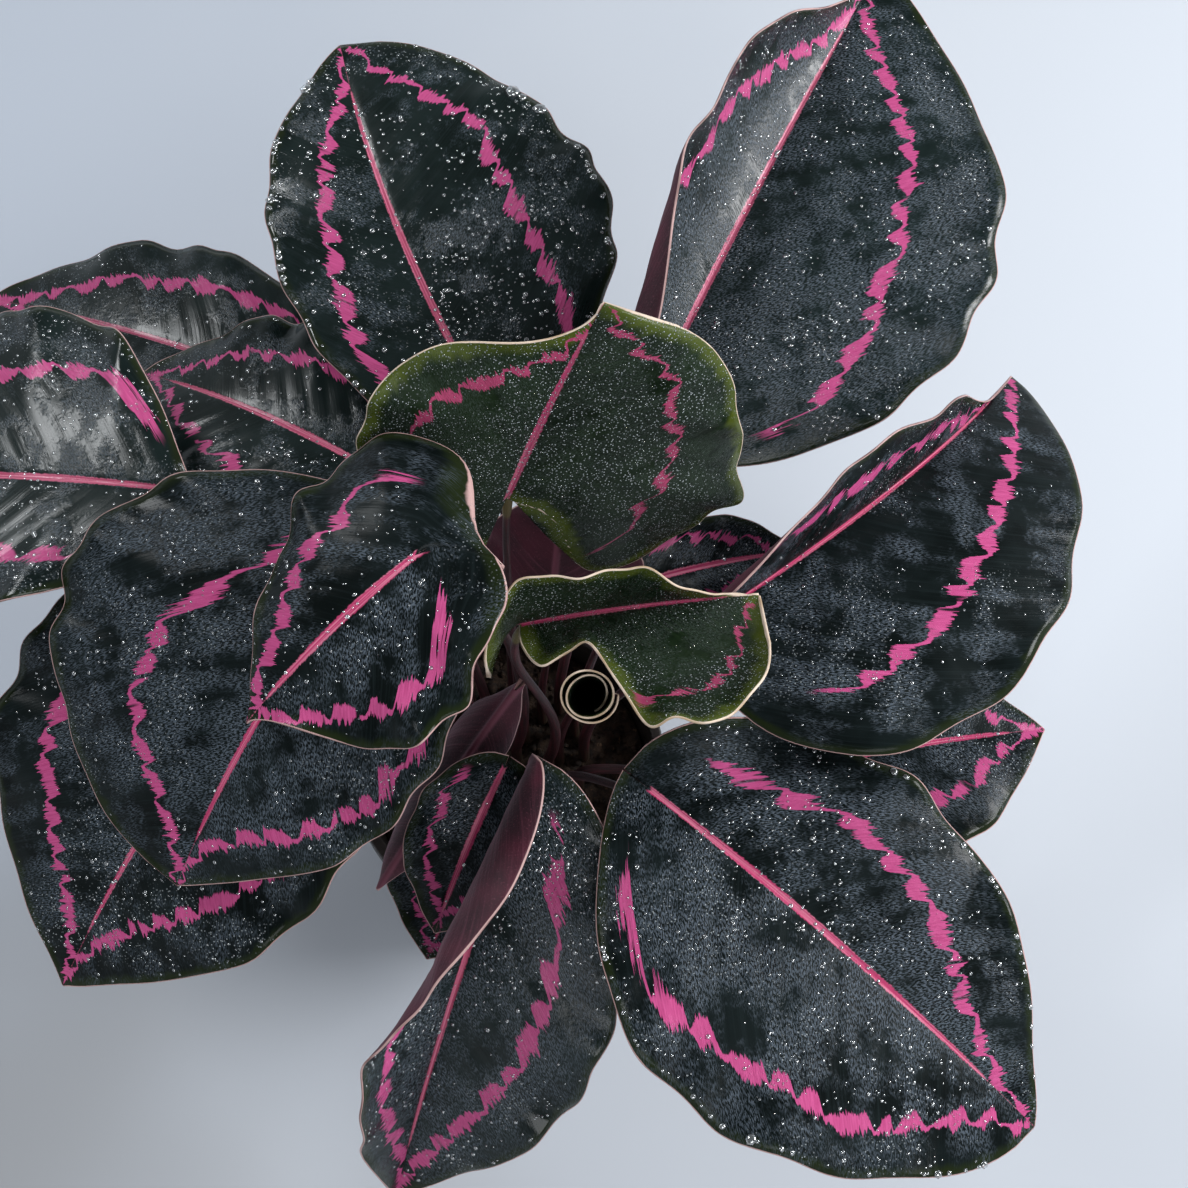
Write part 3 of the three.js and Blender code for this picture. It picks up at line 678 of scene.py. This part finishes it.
def drop_spots(leaf, rng):
    """Where drops lie on a blade, in clumps and then along its margins, and how much larger each is."""
    tries = leaf.drops * DROP_TRIES
    along = rng.uniform(*DROP_SPAN, tries)
    across = rng.uniform(-DROP_REACH, DROP_REACH, tries)
    run = along * leaf.length
    out = across * half_width(leaf, along, across)
    phase = leaf.number
    clump = np.sin(run / 9 + phase) * np.sin(out / 7 + 2 * phase) + 0.7 * np.sin(run / 23 - out / 17 + phase)
    share = half_width(leaf, along, across) / max(leaf.half)
    keep = (clump + rng.normal(0, 0.9, tries) > 0.2) & (rng.random(tries) < share)
    along, across = along[keep][:leaf.drops], across[keep][:leaf.drops]
    swell = np.repeat([1, BEAD_SWELL], [len(along), leaf.beads])
    along = np.concatenate([along, rng.uniform(*BEAD_SPAN, leaf.beads)])
    across = np.concatenate([across, rng.choice([-BEAD_REACH, BEAD_REACH], leaf.beads)])
    return along, across, swell


def add_drops(leaf, water):
    rng = np.random.default_rng(DROP_SEED + leaf.number)
    along, across, swell = drop_spots(leaf, rng)
    count = len(along)
    step = 0.004
    point, run, out = blade(leaf, along, across)
    forward = unit(blade(leaf, along + step, across)[0] - point)
    sideways = unit(blade(leaf, along, across + step)[0] - point)
    normal = unit(np.cross(sideways, forward))
    width = half_width(leaf, along, across)
    relief = quilt(vein_place(leaf, run, out, across), out, width - out, along)
    seat = point + normal * (THICKNESS / 2 + relief)[:, None]
    radius = swell * leaf.drop_size * np.clip(rng.lognormal(0, DROP_SPREAD, count), *DROP_SIZES)
    turn = rng.uniform(0, TAU, count)
    one = np.cos(turn)[:, None] * forward + np.sin(turn)[:, None] * sideways
    frames = np.stack([one, np.cross(normal, one), normal], axis=1)
    lengths, heights = rng.uniform(*DROP_LENGTHS, count), rng.uniform(*DROP_HEIGHTS, count)
    stretch = radius[:, None] * np.stack([lengths, np.ones(count), heights], axis=1)
    shape, faces = dome()
    piece = Piece()
    piece.add_points(seat[:, None, :] + np.einsum("ki,ni,nij->nkj", shape, stretch, frames))
    for drop in range(count):
        shift = drop * len(shape)
        piece.faces += [tuple(corner + shift for corner in face) for face in faces]
    piece.slots = [0] * len(piece.faces)
    made = piece.make(leaf.name + "_drops", [water])
    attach(made, "root")


# Rolled leaf

def scroll_sheet(foot, axis, length):
    """The rolled blade: a sheet wound inwards, wider at its mouth, with its marks as on a flat blade."""
    right = unit(np.cross(axis, [0, -1, 0]))
    front = np.cross(right, axis)
    rows, steps = np.linspace(0, 1, SCROLL_ROWS + 1), np.linspace(0, 1, SCROLL_STEPS + 1)
    up, turn = np.meshgrid(rows, steps, indexing="ij")
    angle = TAU * SCROLL_TURNS * turn
    flap = SCROLL_FLAP * np.sin(np.pi * turn) * up ** 2 + SCROLL_FRILL * up ** 6 * np.sin(4.6 * angle + 1)
    centre = foot + axis * (up * (length - SCROLL_FLAP) + flap)[..., None]
    radius = blend(SCROLL_FOOT_RADIUS, SCROLL_MOUTH_RADIUS, up) - SCROLL_PITCH * SCROLL_TURNS * turn
    radius = radius + SCROLL_SQUEEZE * up ** 4 * np.sin(2.3 * angle)
    outward = np.cos(angle)[..., None] * right + np.sin(angle)[..., None] * front
    outer = centre + outward * radius[..., None]
    inner = centre + outward * (radius - THICKNESS)[..., None]
    run = up * length
    place = np.stack([run - SCROLL_SWEEP * angle * radius, angle * radius, up], axis=-1)
    marks = np.stack([run * 0 + NO_RING, run * 0, (1 - up) * length], axis=-1)
    return inner, outer, place, marks


def rolled_piece(materials):
    foot, mouth = np.array(ROLLED["foot"], float), np.array(ROLLED["mouth"], float)
    axis = unit(mouth - foot)
    piece = Piece()
    add_sheet(piece, *scroll_sheet(foot, axis, np.linalg.norm(mouth - foot)))
    line = petiole_line(ROLLED["soil"], foot + axis * SCROLL_PLUG, axis, (0, 0))
    run, share, stalk = taper(line)
    radii = np.maximum(stalk, SCROLL_FOOT_RADIUS * smoothstep(share, 0.8, 0.99))
    place = np.stack([run, 0 * run, NO_JOINT + 0 * run], axis=1)
    tube(piece, line, radii, SCROLL_SIDES, 3, place)
    made = piece.make("leaf_rolled_scroll", materials)
    settle(made, ROLLED["name"])


# Pot and soil

def pot_radius(height):
    return blend(POT_FOOT_RADIUS, POT_RIM_RADIUS - RIM_OVERHANG, height / POT_HEIGHT)


def lathe(piece, profile, sides):
    """A closed body turned from a profile that starts and ends on the axis, with triangles there."""
    loops = []
    for radius, height in profile:
        if radius:
            loops.append(np.arange(sides) + piece.add_points(circle(sides, radius, height)))
        else:
            loops.append(np.full(sides, piece.add_points(np.array([0.0, 0.0, height]))))
    for first, second in zip(loops[:-1], loops[1:]):
        quads = loop_faces(first, second)[:, ::-1].tolist()
        piece.add_faces([tuple(dict.fromkeys(quad)) for quad in quads])


def arc(centre, radius, start, end, steps):
    """Points of a rounded edge, with angles in degrees from straight out to straight up."""
    angles = np.radians(np.linspace(start, end, steps))
    return [(centre[0] + radius * math.cos(a), centre[1] + radius * math.sin(a)) for a in angles]


def drill_drains(pot):
    """Cuts the drain holes out of the pot's floor."""
    cutter = Piece()
    sides = np.arange(DRAIN_SIDES)
    for centre in circle(DRAIN_HOLES, DRAIN_CIRCLE):
        ring = centre + circle(DRAIN_SIDES, DRAIN_RADIUS)
        low = cutter.add_points(ring - [0, 0, 2 * POT_FLOOR])
        high = cutter.add_points(ring + [0, 0, 2 * POT_FLOOR])
        cutter.add_faces(loop_faces(sides + high, sides + low))
        cutter.add_faces([sides[::-1] + low, sides + high])
    drills = cutter.make("drills", [])
    cut = pot.modifiers.new("drains", "BOOLEAN")
    cut.operation = "DIFFERENCE"
    cut.solver = "EXACT"
    cut.object = drills
    graph = bpy.context.evaluated_depsgraph_get()
    mesh = bpy.data.meshes.new_from_object(pot.evaluated_get(graph))
    pot.modifiers.clear()
    pot.data = mesh
    bpy.data.objects.remove(drills)


def pot_piece(plastic):
    inside = lambda height: pot_radius(height) - POT_WALL
    rim_low = POT_HEIGHT - RIM_DROP
    profile = [(0, 0.6), (POT_FOOT_RADIUS - 6, 0.6), (POT_FOOT_RADIUS - 5, 0)]
    profile += arc((POT_FOOT_RADIUS - 1, 1), 1, -90, 0, 5)
    profile += [(pot_radius(height), height) for height in np.linspace(4, rim_low - 1.2, 12)]
    profile += arc((POT_RIM_RADIUS - 0.8, rim_low + 0.8), 0.8, -90, 0, 4)
    profile += arc((POT_RIM_RADIUS - 1, POT_HEIGHT - 1), 1, 0, 90, 6)
    profile += arc((inside(POT_HEIGHT) + 0.8, POT_HEIGHT - 0.8), 0.8, 90, 180, 5)
    profile += [(inside(height), height) for height in np.linspace(POT_HEIGHT - 3, POT_FLOOR + 1, 10)]
    profile += [(inside(POT_FLOOR) - 1, POT_FLOOR), (0, POT_FLOOR)]
    piece = Piece()
    lathe(piece, profile, POT_SIDES)
    made = piece.make("pot_shell", [plastic])
    drill_drains(made)
    settle(made, "pot")


def lump(x, y):
    return SOIL_LUMP * (np.sin(0.31 * x + 0.9) * np.cos(0.27 * y) + 0.5 * np.sin(0.53 * x - 0.47 * y))


def soil_piece(earth):
    floor = POT_FLOOR + SOIL_GAP
    wall = lambda height: pot_radius(height) - POT_WALL - SOIL_GAP
    profile = [(0, floor), (wall(floor), floor)]
    profile += [(wall(height), height) for height in np.linspace(20, SOIL_TOP - 2, 6)]
    profile += [(radius, SOIL_TOP) for radius in np.linspace(wall(SOIL_TOP) - 1.5, 1.5, 40)]
    profile += [(0, SOIL_TOP)]
    piece = Piece()
    lathe(piece, profile, SOIL_SIDES)
    points = np.concatenate(piece.points)
    top = points[:, 2] > SOIL_TOP - 1
    x, y = points[:, 0], points[:, 1]
    grit = SOIL_GRIT * np.sin(1.3 * x + 2 * np.sin(0.9 * y)) * np.cos(1.1 * y)
    points[:, 2] += np.where(top, lump(x, y) + grit, 0)
    piece.points = [points]
    add_crumbs(piece)
    made = piece.make("soil_bed", [earth])
    settle(made, "soil")


def add_crumbs(piece):
    """Lumps of potting mix half sunk in the top of the soil."""
    rng = np.random.default_rng(CRUMB_SEED)
    ratio = (1 + math.sqrt(5)) / 2
    pairs = [(-1, ratio), (1, ratio), (-1, -ratio), (1, -ratio)]
    knob = [(a, b, 0) for a, b in pairs] + [(0, a, b) for a, b in pairs] + [(b, 0, a) for a, b in pairs]
    knob = unit(np.array(knob))
    faces = [
        (0, 11, 5), (0, 5, 1), (0, 1, 7), (0, 7, 10), (0, 10, 11), (1, 5, 9), (5, 11, 4), (11, 10, 2),
        (10, 7, 6), (7, 1, 8), (3, 9, 4), (3, 4, 2), (3, 2, 6), (3, 6, 8), (3, 8, 9), (4, 9, 5), (2, 4, 11),
        (6, 2, 10), (8, 6, 7), (9, 8, 1),
    ]
    for _ in range(CRUMBS):
        reach = (pot_radius(SOIL_TOP) - POT_WALL - 2.5) * math.sqrt(rng.random())
        angle = rng.uniform(0, TAU)
        x, y = reach * math.cos(angle), reach * math.sin(angle)
        size = min(CRUMB_SIZES[0] + rng.exponential(0.6), CRUMB_SIZES[1])
        stretch = size * rng.uniform(0.6, 1.3, 3)
        points = knob * stretch * rng.uniform(0.8, 1.15, (12, 1))
        start = piece.add_points(points + [x, y, SOIL_TOP + lump(x, y) + 0.25 * size])
        piece.add_faces(np.array(faces) + start)


# Material helpers

class Nodes:
    """The nodes of a material or of the world, built from the numbers and colours that they need."""

    def __init__(self, owner):
        owner.use_nodes = True
        self.owner = owner
        self.tree = owner.node_tree

    def node(self, kind, inputs=None, **settings):
        made = self.tree.nodes.new("ShaderNode" + kind)
        for key, value in settings.items():
            setattr(made, key, value)
        for key, value in (inputs or {}).items():
            self.put(made.inputs[key], value)
        return made

    def put(self, socket, value):
        if isinstance(value, bpy.types.NodeSocket):
            self.tree.links.new(value, socket)
        else:
            socket.default_value = (*value, 1.0) if isinstance(value, tuple) else value

    def math(self, operation, one, two=0.0, clamp=False):
        return self.node("Math", {0: one, 1: two}, operation=operation, use_clamp=clamp).outputs[0]

    def add(self, one, two):
        return self.math("ADD", one, two)

    def times(self, one, two):
        return self.math("MULTIPLY", one, two)

    def step(self, value, low, high):
        """0 at low and 1 at high, smooth between them."""
        inputs = {"Value": value, "From Min": low, "From Max": high}
        return self.node("MapRange", inputs, interpolation_type="SMOOTHSTEP").outputs["Result"]

    def mix(self, share, one, two):
        made = self.node("Mix", data_type="RGBA")
        for socket, value in zip((made.inputs[0], made.inputs[6], made.inputs[7]), (share, one, two)):
            self.put(socket, value)
        return made.outputs[2]

    def attribute(self, name):
        vector = self.node("Attribute", attribute_name=name).outputs["Vector"]
        return self.node("SeparateXYZ", {0: vector}).outputs

    def noise(self, vector, scale, detail=2.0, roughness=0.5):
        inputs = {"Vector": vector, "Scale": scale, "Detail": detail, "Roughness": roughness}
        return self.node("TexNoise", inputs).outputs["Fac"]

    def stretched(self, x, y, x_size, y_size, detail=1.0):
        """Noise of one size along x and another along y."""
        vector = self.node("CombineXYZ", {0: self.times(x, 1 / x_size), 1: self.times(y, 1 / y_size)})
        return self.noise(vector.outputs[0], 1.0, detail)

    def swing(self, share, reach):
        """A share of 0 to 1, turned into as much to either side of 0."""
        return self.times(self.math("SUBTRACT", share, 0.5), reach)

    def sway(self, x, y, x_size, y_size, reach, detail=1.0):
        """Stretched noise to either side of 0."""
        return self.swing(self.stretched(x, y, x_size, y_size, detail), reach)

    def dots(self, spot, scale, size):
        """Round dots strewn at random, 1 in the middle of each."""
        cells = self.node("TexVoronoi", {"Vector": spot, "Scale": scale})
        return self.step(cells.outputs["Distance"], size, 0.5 * size)

    def position(self):
        return self.node("TexCoord").outputs["Object"]

    def finish(self, colour, rough, shine=0.5, relief=None, depth=0.0, **more):
        """Gives the surface its colour, roughness, shine and relief, and returns its material."""
        inputs = {"Base Color": colour, "Roughness": rough, "Specular IOR Level": shine}
        if relief is not None:
            bump = self.node("Bump", {"Height": relief, "Distance": depth, "Strength": 1.0})
            inputs["Normal"] = bump.outputs["Normal"]
        for key, value in more.items():
            inputs[key.replace("_", " ")] = value
        for key, value in inputs.items():
            self.put(self.tree.nodes["Principled BSDF"].inputs[key], value)
        return self.owner


def surface(name):
    return Nodes(bpy.data.materials.new(name))


# Materials

def ring_mask(n, vein, out, ring, ring_width):
    """The pink ring: a chain of ragged blocks with thin links and a gap here and there."""
    drift = n.sway(vein, out, 20, 90, 1.6)
    block = n.math("FRACT", n.add(n.times(vein, 1 / RING_BLOCK), drift))
    back = n.step(block, 0.8, 1.0)
    ramp = n.math("SUBTRACT", n.math("MINIMUM", n.times(block, 1.25), 1.0), back)
    middle = n.add(n.add(ring, n.swing(ramp, RING_STEP)), n.sway(vein, out, 8, 40, RING_WANDER))
    thick = n.times(n.step(block, 0.05, 0.4), n.step(block, 1.0, 0.75))
    thick = n.times(thick, n.add(0.4, n.stretched(vein, out, 14, 90)))
    half = n.times(ring_width, n.add(RING_THIN, n.times(thick, RING_SWELL)))
    teeth = n.times(n.sway(vein, out, 1.3, 14, RING_TEETH), n.add(0.25, thick))
    hairs = n.times(n.sway(vein, out, 0.45, 7, RING_HAIRS, 2.0), n.add(0.2, thick))
    body = n.math("SUBTRACT", n.math("ABSOLUTE", n.add(middle, n.times(teeth, 0.4))), half)
    mask = n.step(n.add(body, n.add(teeth, hairs)), 0.2, -0.2)
    gaps = n.step(n.stretched(vein, out, 5, 30), 0.27, 0.33)
    return n.times(n.times(mask, gaps), n.step(ring_width, 0.25, 0.8))


def rib_mask(n, vein, out, share):
    """The pink stripe on the midrib, widest half way, and ending before the tip."""
    left = n.math("SUBTRACT", 1.0, n.times(share, 1 / RIB_END), clamp=True)
    swell = n.add(0.7, n.times(n.step(share, 0.02, 0.5), 0.55))
    half = n.times(n.times(n.math("POWER", left, 0.35), swell), RIB_HALF_WIDTH)
    body = n.math("SUBTRACT", n.add(out, n.sway(vein, out, 0.7, 3, 0.9)), half)
    return n.times(n.step(body, 0.25, -0.25), n.step(share, 0.008, 0.02))


def leaf_ground(n, look, vein, out, edge, clouds, streaks):
    """Dark green with paler streaks along the side veins, and an olive margin."""
    colour = n.mix(n.step(clouds, 0.35, 0.65), look["deep"], look["mid"])
    colour = n.mix(n.times(n.step(streaks, 0.45, 0.75), 0.5), colour, look["streak"])
    fringe = n.add(edge, n.sway(vein, out, 5, 12, 0.9 * look["margin"]))
    return n.mix(n.step(fringe, look["margin"], 0.25 * look["margin"]), colour, look["olive"])


def pink_marks(n, look, colour, place, ring, ring_width):
    """The ring, and over it the midrib with paler lines."""
    vein, across, share = place
    out = n.math("ABSOLUTE", across)
    pink = n.mix(n.stretched(vein, out, 0.7, 5), look["pink_dark"], look["pink"])
    colour = n.mix(ring_mask(n, vein, out, ring, ring_width), colour, pink)
    rib = n.mix(n.step(n.stretched(across, vein, 0.5, 40), 0.42, 0.62), look["rib"], look["rib_pale"])
    return n.mix(rib_mask(n, vein, out, share), colour, rib)


def damp_at(n, look, spot, vein, out, edge):
    """Where mist and its painted sheen lie: in clouds, in bands along the side veins, and less near the
    margin.
    """
    bands = n.add(n.noise(spot, 60, 4.0, 0.65), n.sway(vein, out, 7, 60, 0.35))
    return n.times(n.step(bands, *look["damp"]), n.add(0.45, n.times(n.step(edge, 1, 14), 0.55)))


def leaf_top(name, look):
    """The upper face: dark green, pink ring and midrib, thin pale edge, and fine drops in painted sheen and
    glints.
    """
    n = surface(name)
    place = n.attribute("place")
    ring, ring_width, edge = n.attribute("marks")
    vein, out = place[0], n.math("ABSOLUTE", place[1])
    spot = n.position()
    clouds = n.noise(spot, 45, 3.0, 0.6)
    streaks = n.stretched(vein, out, 1.1, 26, 2.0)
    damp = damp_at(n, look, spot, vein, out, edge)
    grain = n.stretched(vein, out, *look["grain_size"], 3.0)
    # Painted sheen: the mist's specks are pale grey-blue, partly the film of fine drops and partly the light
    # they catch.
    specks = n.times(n.step(grain, 0.46, 0.58), damp)
    # Painted glints: very fine drops as pale whitish dots, which also carry a little relief of their own.
    patches = n.step(n.noise(spot, 30, 3.0, 0.6), *look["dew_and_glints"])
    dew_and_glints = n.times(n.dots(spot, look["dew_scale"], 0.3), patches)
    colour = leaf_ground(n, look, vein, out, edge, clouds, streaks)
    colour = n.mix(n.times(specks, look["mist_and_sheen_strength"]), colour, look["mist_and_sheen"])
    colour = pink_marks(n, look, colour, place, ring, ring_width)
    line = n.step(n.add(edge, n.times(n.noise(spot, 300), 0.25)), 0.5, 0.28)
    colour = n.mix(line, colour, look["line"])
    colour = n.mix(n.times(dew_and_glints, look["dew_glint_strength"]), colour, look["dew_glint_colour"])
    rough = n.add(n.add(look["rough"], n.swing(specks, 0.16)), n.swing(clouds, 0.15))
    rough = n.math("SUBTRACT", rough, n.times(n.step(edge, 14, 2), 0.12))
    relief = n.add(n.times(streaks, 0.12), n.times(n.times(grain, damp), look["grain"]))
    return n.finish(colour, rough, shine=look["shine"], relief=n.add(relief, dew_and_glints), depth=0.0005)


def leaf_under(name, look):
    """The velvety burgundy underside, its wine kept somewhat darker than its own colour as painted shade."""
    n = surface(name)
    vein, across, _ = n.attribute("place")
    _, _, edge = n.attribute("marks")
    out = n.math("ABSOLUTE", across)
    spot = n.position()
    clouds = n.noise(spot, 60, 3.0)
    streaks = n.stretched(vein, out, 1.2, 24, 2.0)
    colour = n.mix(n.step(clouds, 0.3, 0.7), look["wine"], look["wine_dark"])
    colour = n.mix(n.times(n.step(streaks, 0.5, 0.8), 0.5), colour, look["wine_pale"])
    specks = n.step(n.noise(spot, 1700, 1.0), 0.6, 0.75)
    colour = n.mix(n.times(specks, 0.5), colour, look["wine_pale"])
    colour = n.mix(n.step(out, 1.8, 0.6), colour, look["wine_pale"])
    colour = n.mix(n.step(edge, 0.55, 0.3), colour, look["line"])
    relief = n.add(n.times(streaks, 0.3), n.times(n.noise(spot, 1200), 0.2))
    sheen = dict(Sheen_Weight=0.25, Sheen_Roughness=0.4, Sheen_Tint=(1.0, 0.55, 0.65))
    return n.finish(colour, 0.62, shine=0.35, relief=relief, depth=0.0006, **sheen)


def leaf_margin(name, look):
    """The thin pale edge of the blade."""
    n = surface(name)
    colour = n.mix(n.step(n.noise(n.position(), 90, 3.0), 0.35, 0.65), look["line"], look["line_dark"])
    return n.finish(colour, 0.5, shine=0.4)


def petiole_skin(name, look):
    """Wine red stalk, flecked along its length, with an olive joint below the blade."""
    n = surface(name)
    run, around, left = n.attribute("place")
    streaks = n.stretched(around, run, 0.6, 14, 2.0)
    colour = n.mix(n.step(streaks, 0.4, 0.7), look["stalk_dark"], look["stalk"])
    colour = n.mix(n.times(n.step(run, 55, 20), 0.7), colour, look["stalk_foot"])
    joint = n.step(left, PULVINUS_LENGTH + 1.0, PULVINUS_LENGTH - 2.0)
    colour = n.mix(n.times(joint, 0.75), colour, look["joint"])
    relief = n.add(n.times(streaks, 0.5), n.times(n.noise(n.position(), 900), 0.3))
    return n.finish(colour, 0.5, shine=0.4, relief=relief, depth=0.0004)


def water_skin():
    """Small drops: clear, with a bright skin that catches the window."""
    coat = dict(Coat_Weight=1.0, Coat_IOR=3.2, Coat_Roughness=0.12)
    return surface("water").finish((0.8, 0.88, 0.9), 0.05, IOR=1.33, Transmission_Weight=0.93, **coat)


def plastic_skin():
    """Dark moulded plastic with faint drag lines and a little dust."""
    n = surface("pot_plastic_skin")
    spot = n.position()
    x, _, z = n.node("SeparateXYZ", {0: spot}).outputs
    dust = n.step(n.noise(spot, 35, 5.0, 0.7), 0.5, 0.8)
    colour = n.mix(n.times(dust, 0.35), (0.022, 0.018, 0.016), (0.075, 0.06, 0.05))
    colour = n.mix(n.times(n.step(z, 0.012, 0.0), 0.4), colour, (0.09, 0.07, 0.055))
    drag = n.stretched(z, x, 0.0009, 0.4)
    relief = n.add(n.times(drag, 0.4), n.times(n.noise(spot, 900, 2.0), 0.6))
    rough = n.add(0.38, n.times(dust, 0.2))
    return n.finish(colour, rough, relief=relief, depth=0.0003)


def earth_skin():
    """Potting mix: dark crumbs with paler bits of bark, the whole darkened as painted shade under the leaves.
    """
    n = surface("earth")
    spot = n.position()
    crumbs = n.step(n.noise(spot, 260, 4.0, 0.7), 0.35, 0.65)
    colour = n.mix(crumbs, (0.012, 0.008, 0.006), (0.05, 0.03, 0.018))
    bark = n.step(n.noise(spot, 420, 2.0), 0.66, 0.74)
    colour = n.mix(n.times(bark, 0.8), colour, (0.14, 0.08, 0.045))
    relief = n.noise(spot, 900, 5.0, 0.7)
    return n.finish(colour, 0.85, shine=0.3, relief=relief, depth=0.0012)


# Painted shade: the underside wines are kept somewhat darker than the leaf's own burgundy.
COMMON = dict(
    wine=(0.065, 0.009, 0.021), wine_dark=(0.02, 0.004, 0.009), wine_pale=(0.15, 0.04, 0.065),
    stalk=(0.085, 0.016, 0.022), stalk_dark=(0.025, 0.008, 0.009), stalk_foot=(0.03, 0.03, 0.012),
    joint=(0.13, 0.11, 0.035), dew_glint_colour=(0.55, 0.6, 0.62),
)
MATURE = dict(
    COMMON, deep=(0.0026, 0.0044, 0.0043), mid=(0.0062, 0.0098, 0.01), streak=(0.012, 0.018, 0.019),
    olive=(0.012, 0.018, 0.006), margin=4.0, damp=(0.36, 0.6), mist_and_sheen=(0.092, 0.114, 0.14),
    mist_and_sheen_strength=0.85, grain_size=(0.5, 0.95), pink=(0.62, 0.11, 0.29), pink_dark=(0.34, 0.035, 0.13),
    rib=(0.44, 0.045, 0.13), rib_pale=(0.6, 0.17, 0.26), line=(0.52, 0.33, 0.31),
    line_dark=(0.22, 0.12, 0.11), rough=0.36, shine=0.09, grain=0.5, dew_and_glints=(0.5, 0.65), dew_scale=850,
    dew_glint_strength=0.5,
)
WET = dict(
    MATURE, deep=(0.0038, 0.008, 0.007), mid=(0.008, 0.015, 0.014), damp=(0.45, 0.65), mist_and_sheen_strength=0.6,
    rough=0.3, shine=0.26, dew_glint_strength=0.4, rib=(0.38, 0.06, 0.12),
)
# Painted shade: the mature look with less of its pale mist, so that the leaves lying in shade come out
# darker.
SHADED = dict(MATURE, damp=(0.43, 0.66))
MISTED = dict(WET, damp=(0.32, 0.58), mist_and_sheen_strength=0.8, shine=0.25, dew_glint_strength=0.5)
YOUNG = dict(
    COMMON, deep=(0.004, 0.009, 0.004), mid=(0.009, 0.019, 0.007), streak=(0.014, 0.028, 0.01),
    olive=(0.06, 0.08, 0.01), margin=6.0, damp=(0.35, 0.5), mist_and_sheen=(0.06, 0.085, 0.07), mist_and_sheen_strength=0.35,
    grain_size=(0.4, 0.8), pink=(0.48, 0.075, 0.17), pink_dark=(0.26, 0.03, 0.08), rib=(0.4, 0.05, 0.13),
    rib_pale=(0.48, 0.12, 0.19), line=(0.75, 0.6, 0.48), line_dark=(0.45, 0.32, 0.2), rough=0.4, shine=0.15,
    grain=0.7, dew_and_glints=(0.38, 0.62), dew_scale=1050, dew_glint_strength=1.0,
)
LOOKS = {"mature": MATURE, "shaded": SHADED, "wet": WET, "misted": MISTED, "young": YOUNG}


def leaf_materials(kind, look):
    return [
        leaf_top(kind + "_top", look), leaf_under(kind + "_under", look),
        leaf_margin(kind + "_margin", look), petiole_skin(kind + "_petiole", look),
    ]


# Floor, light and camera

def make_floor():
    bpy.ops.mesh.primitive_plane_add(size=FLOOR_SIZE)
    floor = bpy.context.object
    floor.name = "floor"
    n = surface("floor_paper")
    spot = n.position()
    across, deep, _ = n.node("SeparateXYZ", {0: spot}).outputs
    clouds = n.swing(n.noise(spot, 4, 2.0), 0.4)
    # Painted shade: the floor darkens towards the left, most of all at the near left.
    left = n.mix(n.step(n.add(deep, clouds), -0.25, 0.1), FLOOR_NEAR_LEFT_SHADE, FLOOR_FAR_LEFT_SHADE)
    colour = n.mix(n.step(n.add(across, clouds), -0.38, 0.28), left, FLOOR_RIGHT)
    floor.data.materials.append(n.finish(colour, 0.9, shine=0.1))


def make_world():
    """Dim overhead and bright towards the horizon, as in a white room."""
    world = bpy.data.worlds.new("room")
    n = Nodes(world)
    height = n.node("SeparateXYZ", {0: n.node("TexCoord").outputs["Generated"]}).outputs["Z"]
    strength = n.node("MapRange", {"Value": height, **ROOM_STRENGTH}).outputs["Result"]
    background = n.tree.nodes["Background"]
    n.put(background.inputs["Color"], ROOM_COLOUR)
    n.put(background.inputs["Strength"], strength)
    bpy.context.scene.world = world


def make_lights():
    bpy.context.scene.view_settings.view_transform = "Standard"
    for name, (place, size, power, colour) in LIGHTS.items():
        light = bpy.data.lights.new(name, "AREA")
        light.shape = "RECTANGLE"
        light.size, light.size_y = size
        light.energy = power
        light.color = colour
        holder = bpy.data.objects.new(name, light)
        holder.location = place
        holder.rotation_euler = (Vector(LIT_PLACE) - Vector(place)).to_track_quat("-Z", "Y").to_euler()
        bpy.context.scene.collection.objects.link(holder)


def make_camera():
    data = bpy.data.cameras.new("camera")
    data.sensor_fit = "HORIZONTAL"
    data.angle = 2 * math.atan(FRAME_PIXELS / 2 / LENS_PIXELS)
    camera = bpy.data.objects.new("camera", data)
    camera.location = CAMERA_PLACE
    camera.rotation_euler = (math.radians(CAMERA_TILT), 0, 0)
    bpy.context.scene.collection.objects.link(camera)
    bpy.context.scene.camera = camera


make_camera()
make_floor()
make_world()
make_lights()
skins = {kind: leaf_materials(kind, look) for kind, look in LOOKS.items()}
water = water_skin()
for number, form in enumerate(LEAVES):
    leaf = Leaf(number, form)
    leaf_piece(leaf, skins[leaf.look])
    if leaf.drops:
        add_drops(leaf, water)
rolled_piece(skins["young"])
pot_piece(plastic_skin())
soil_piece(earth_skin())
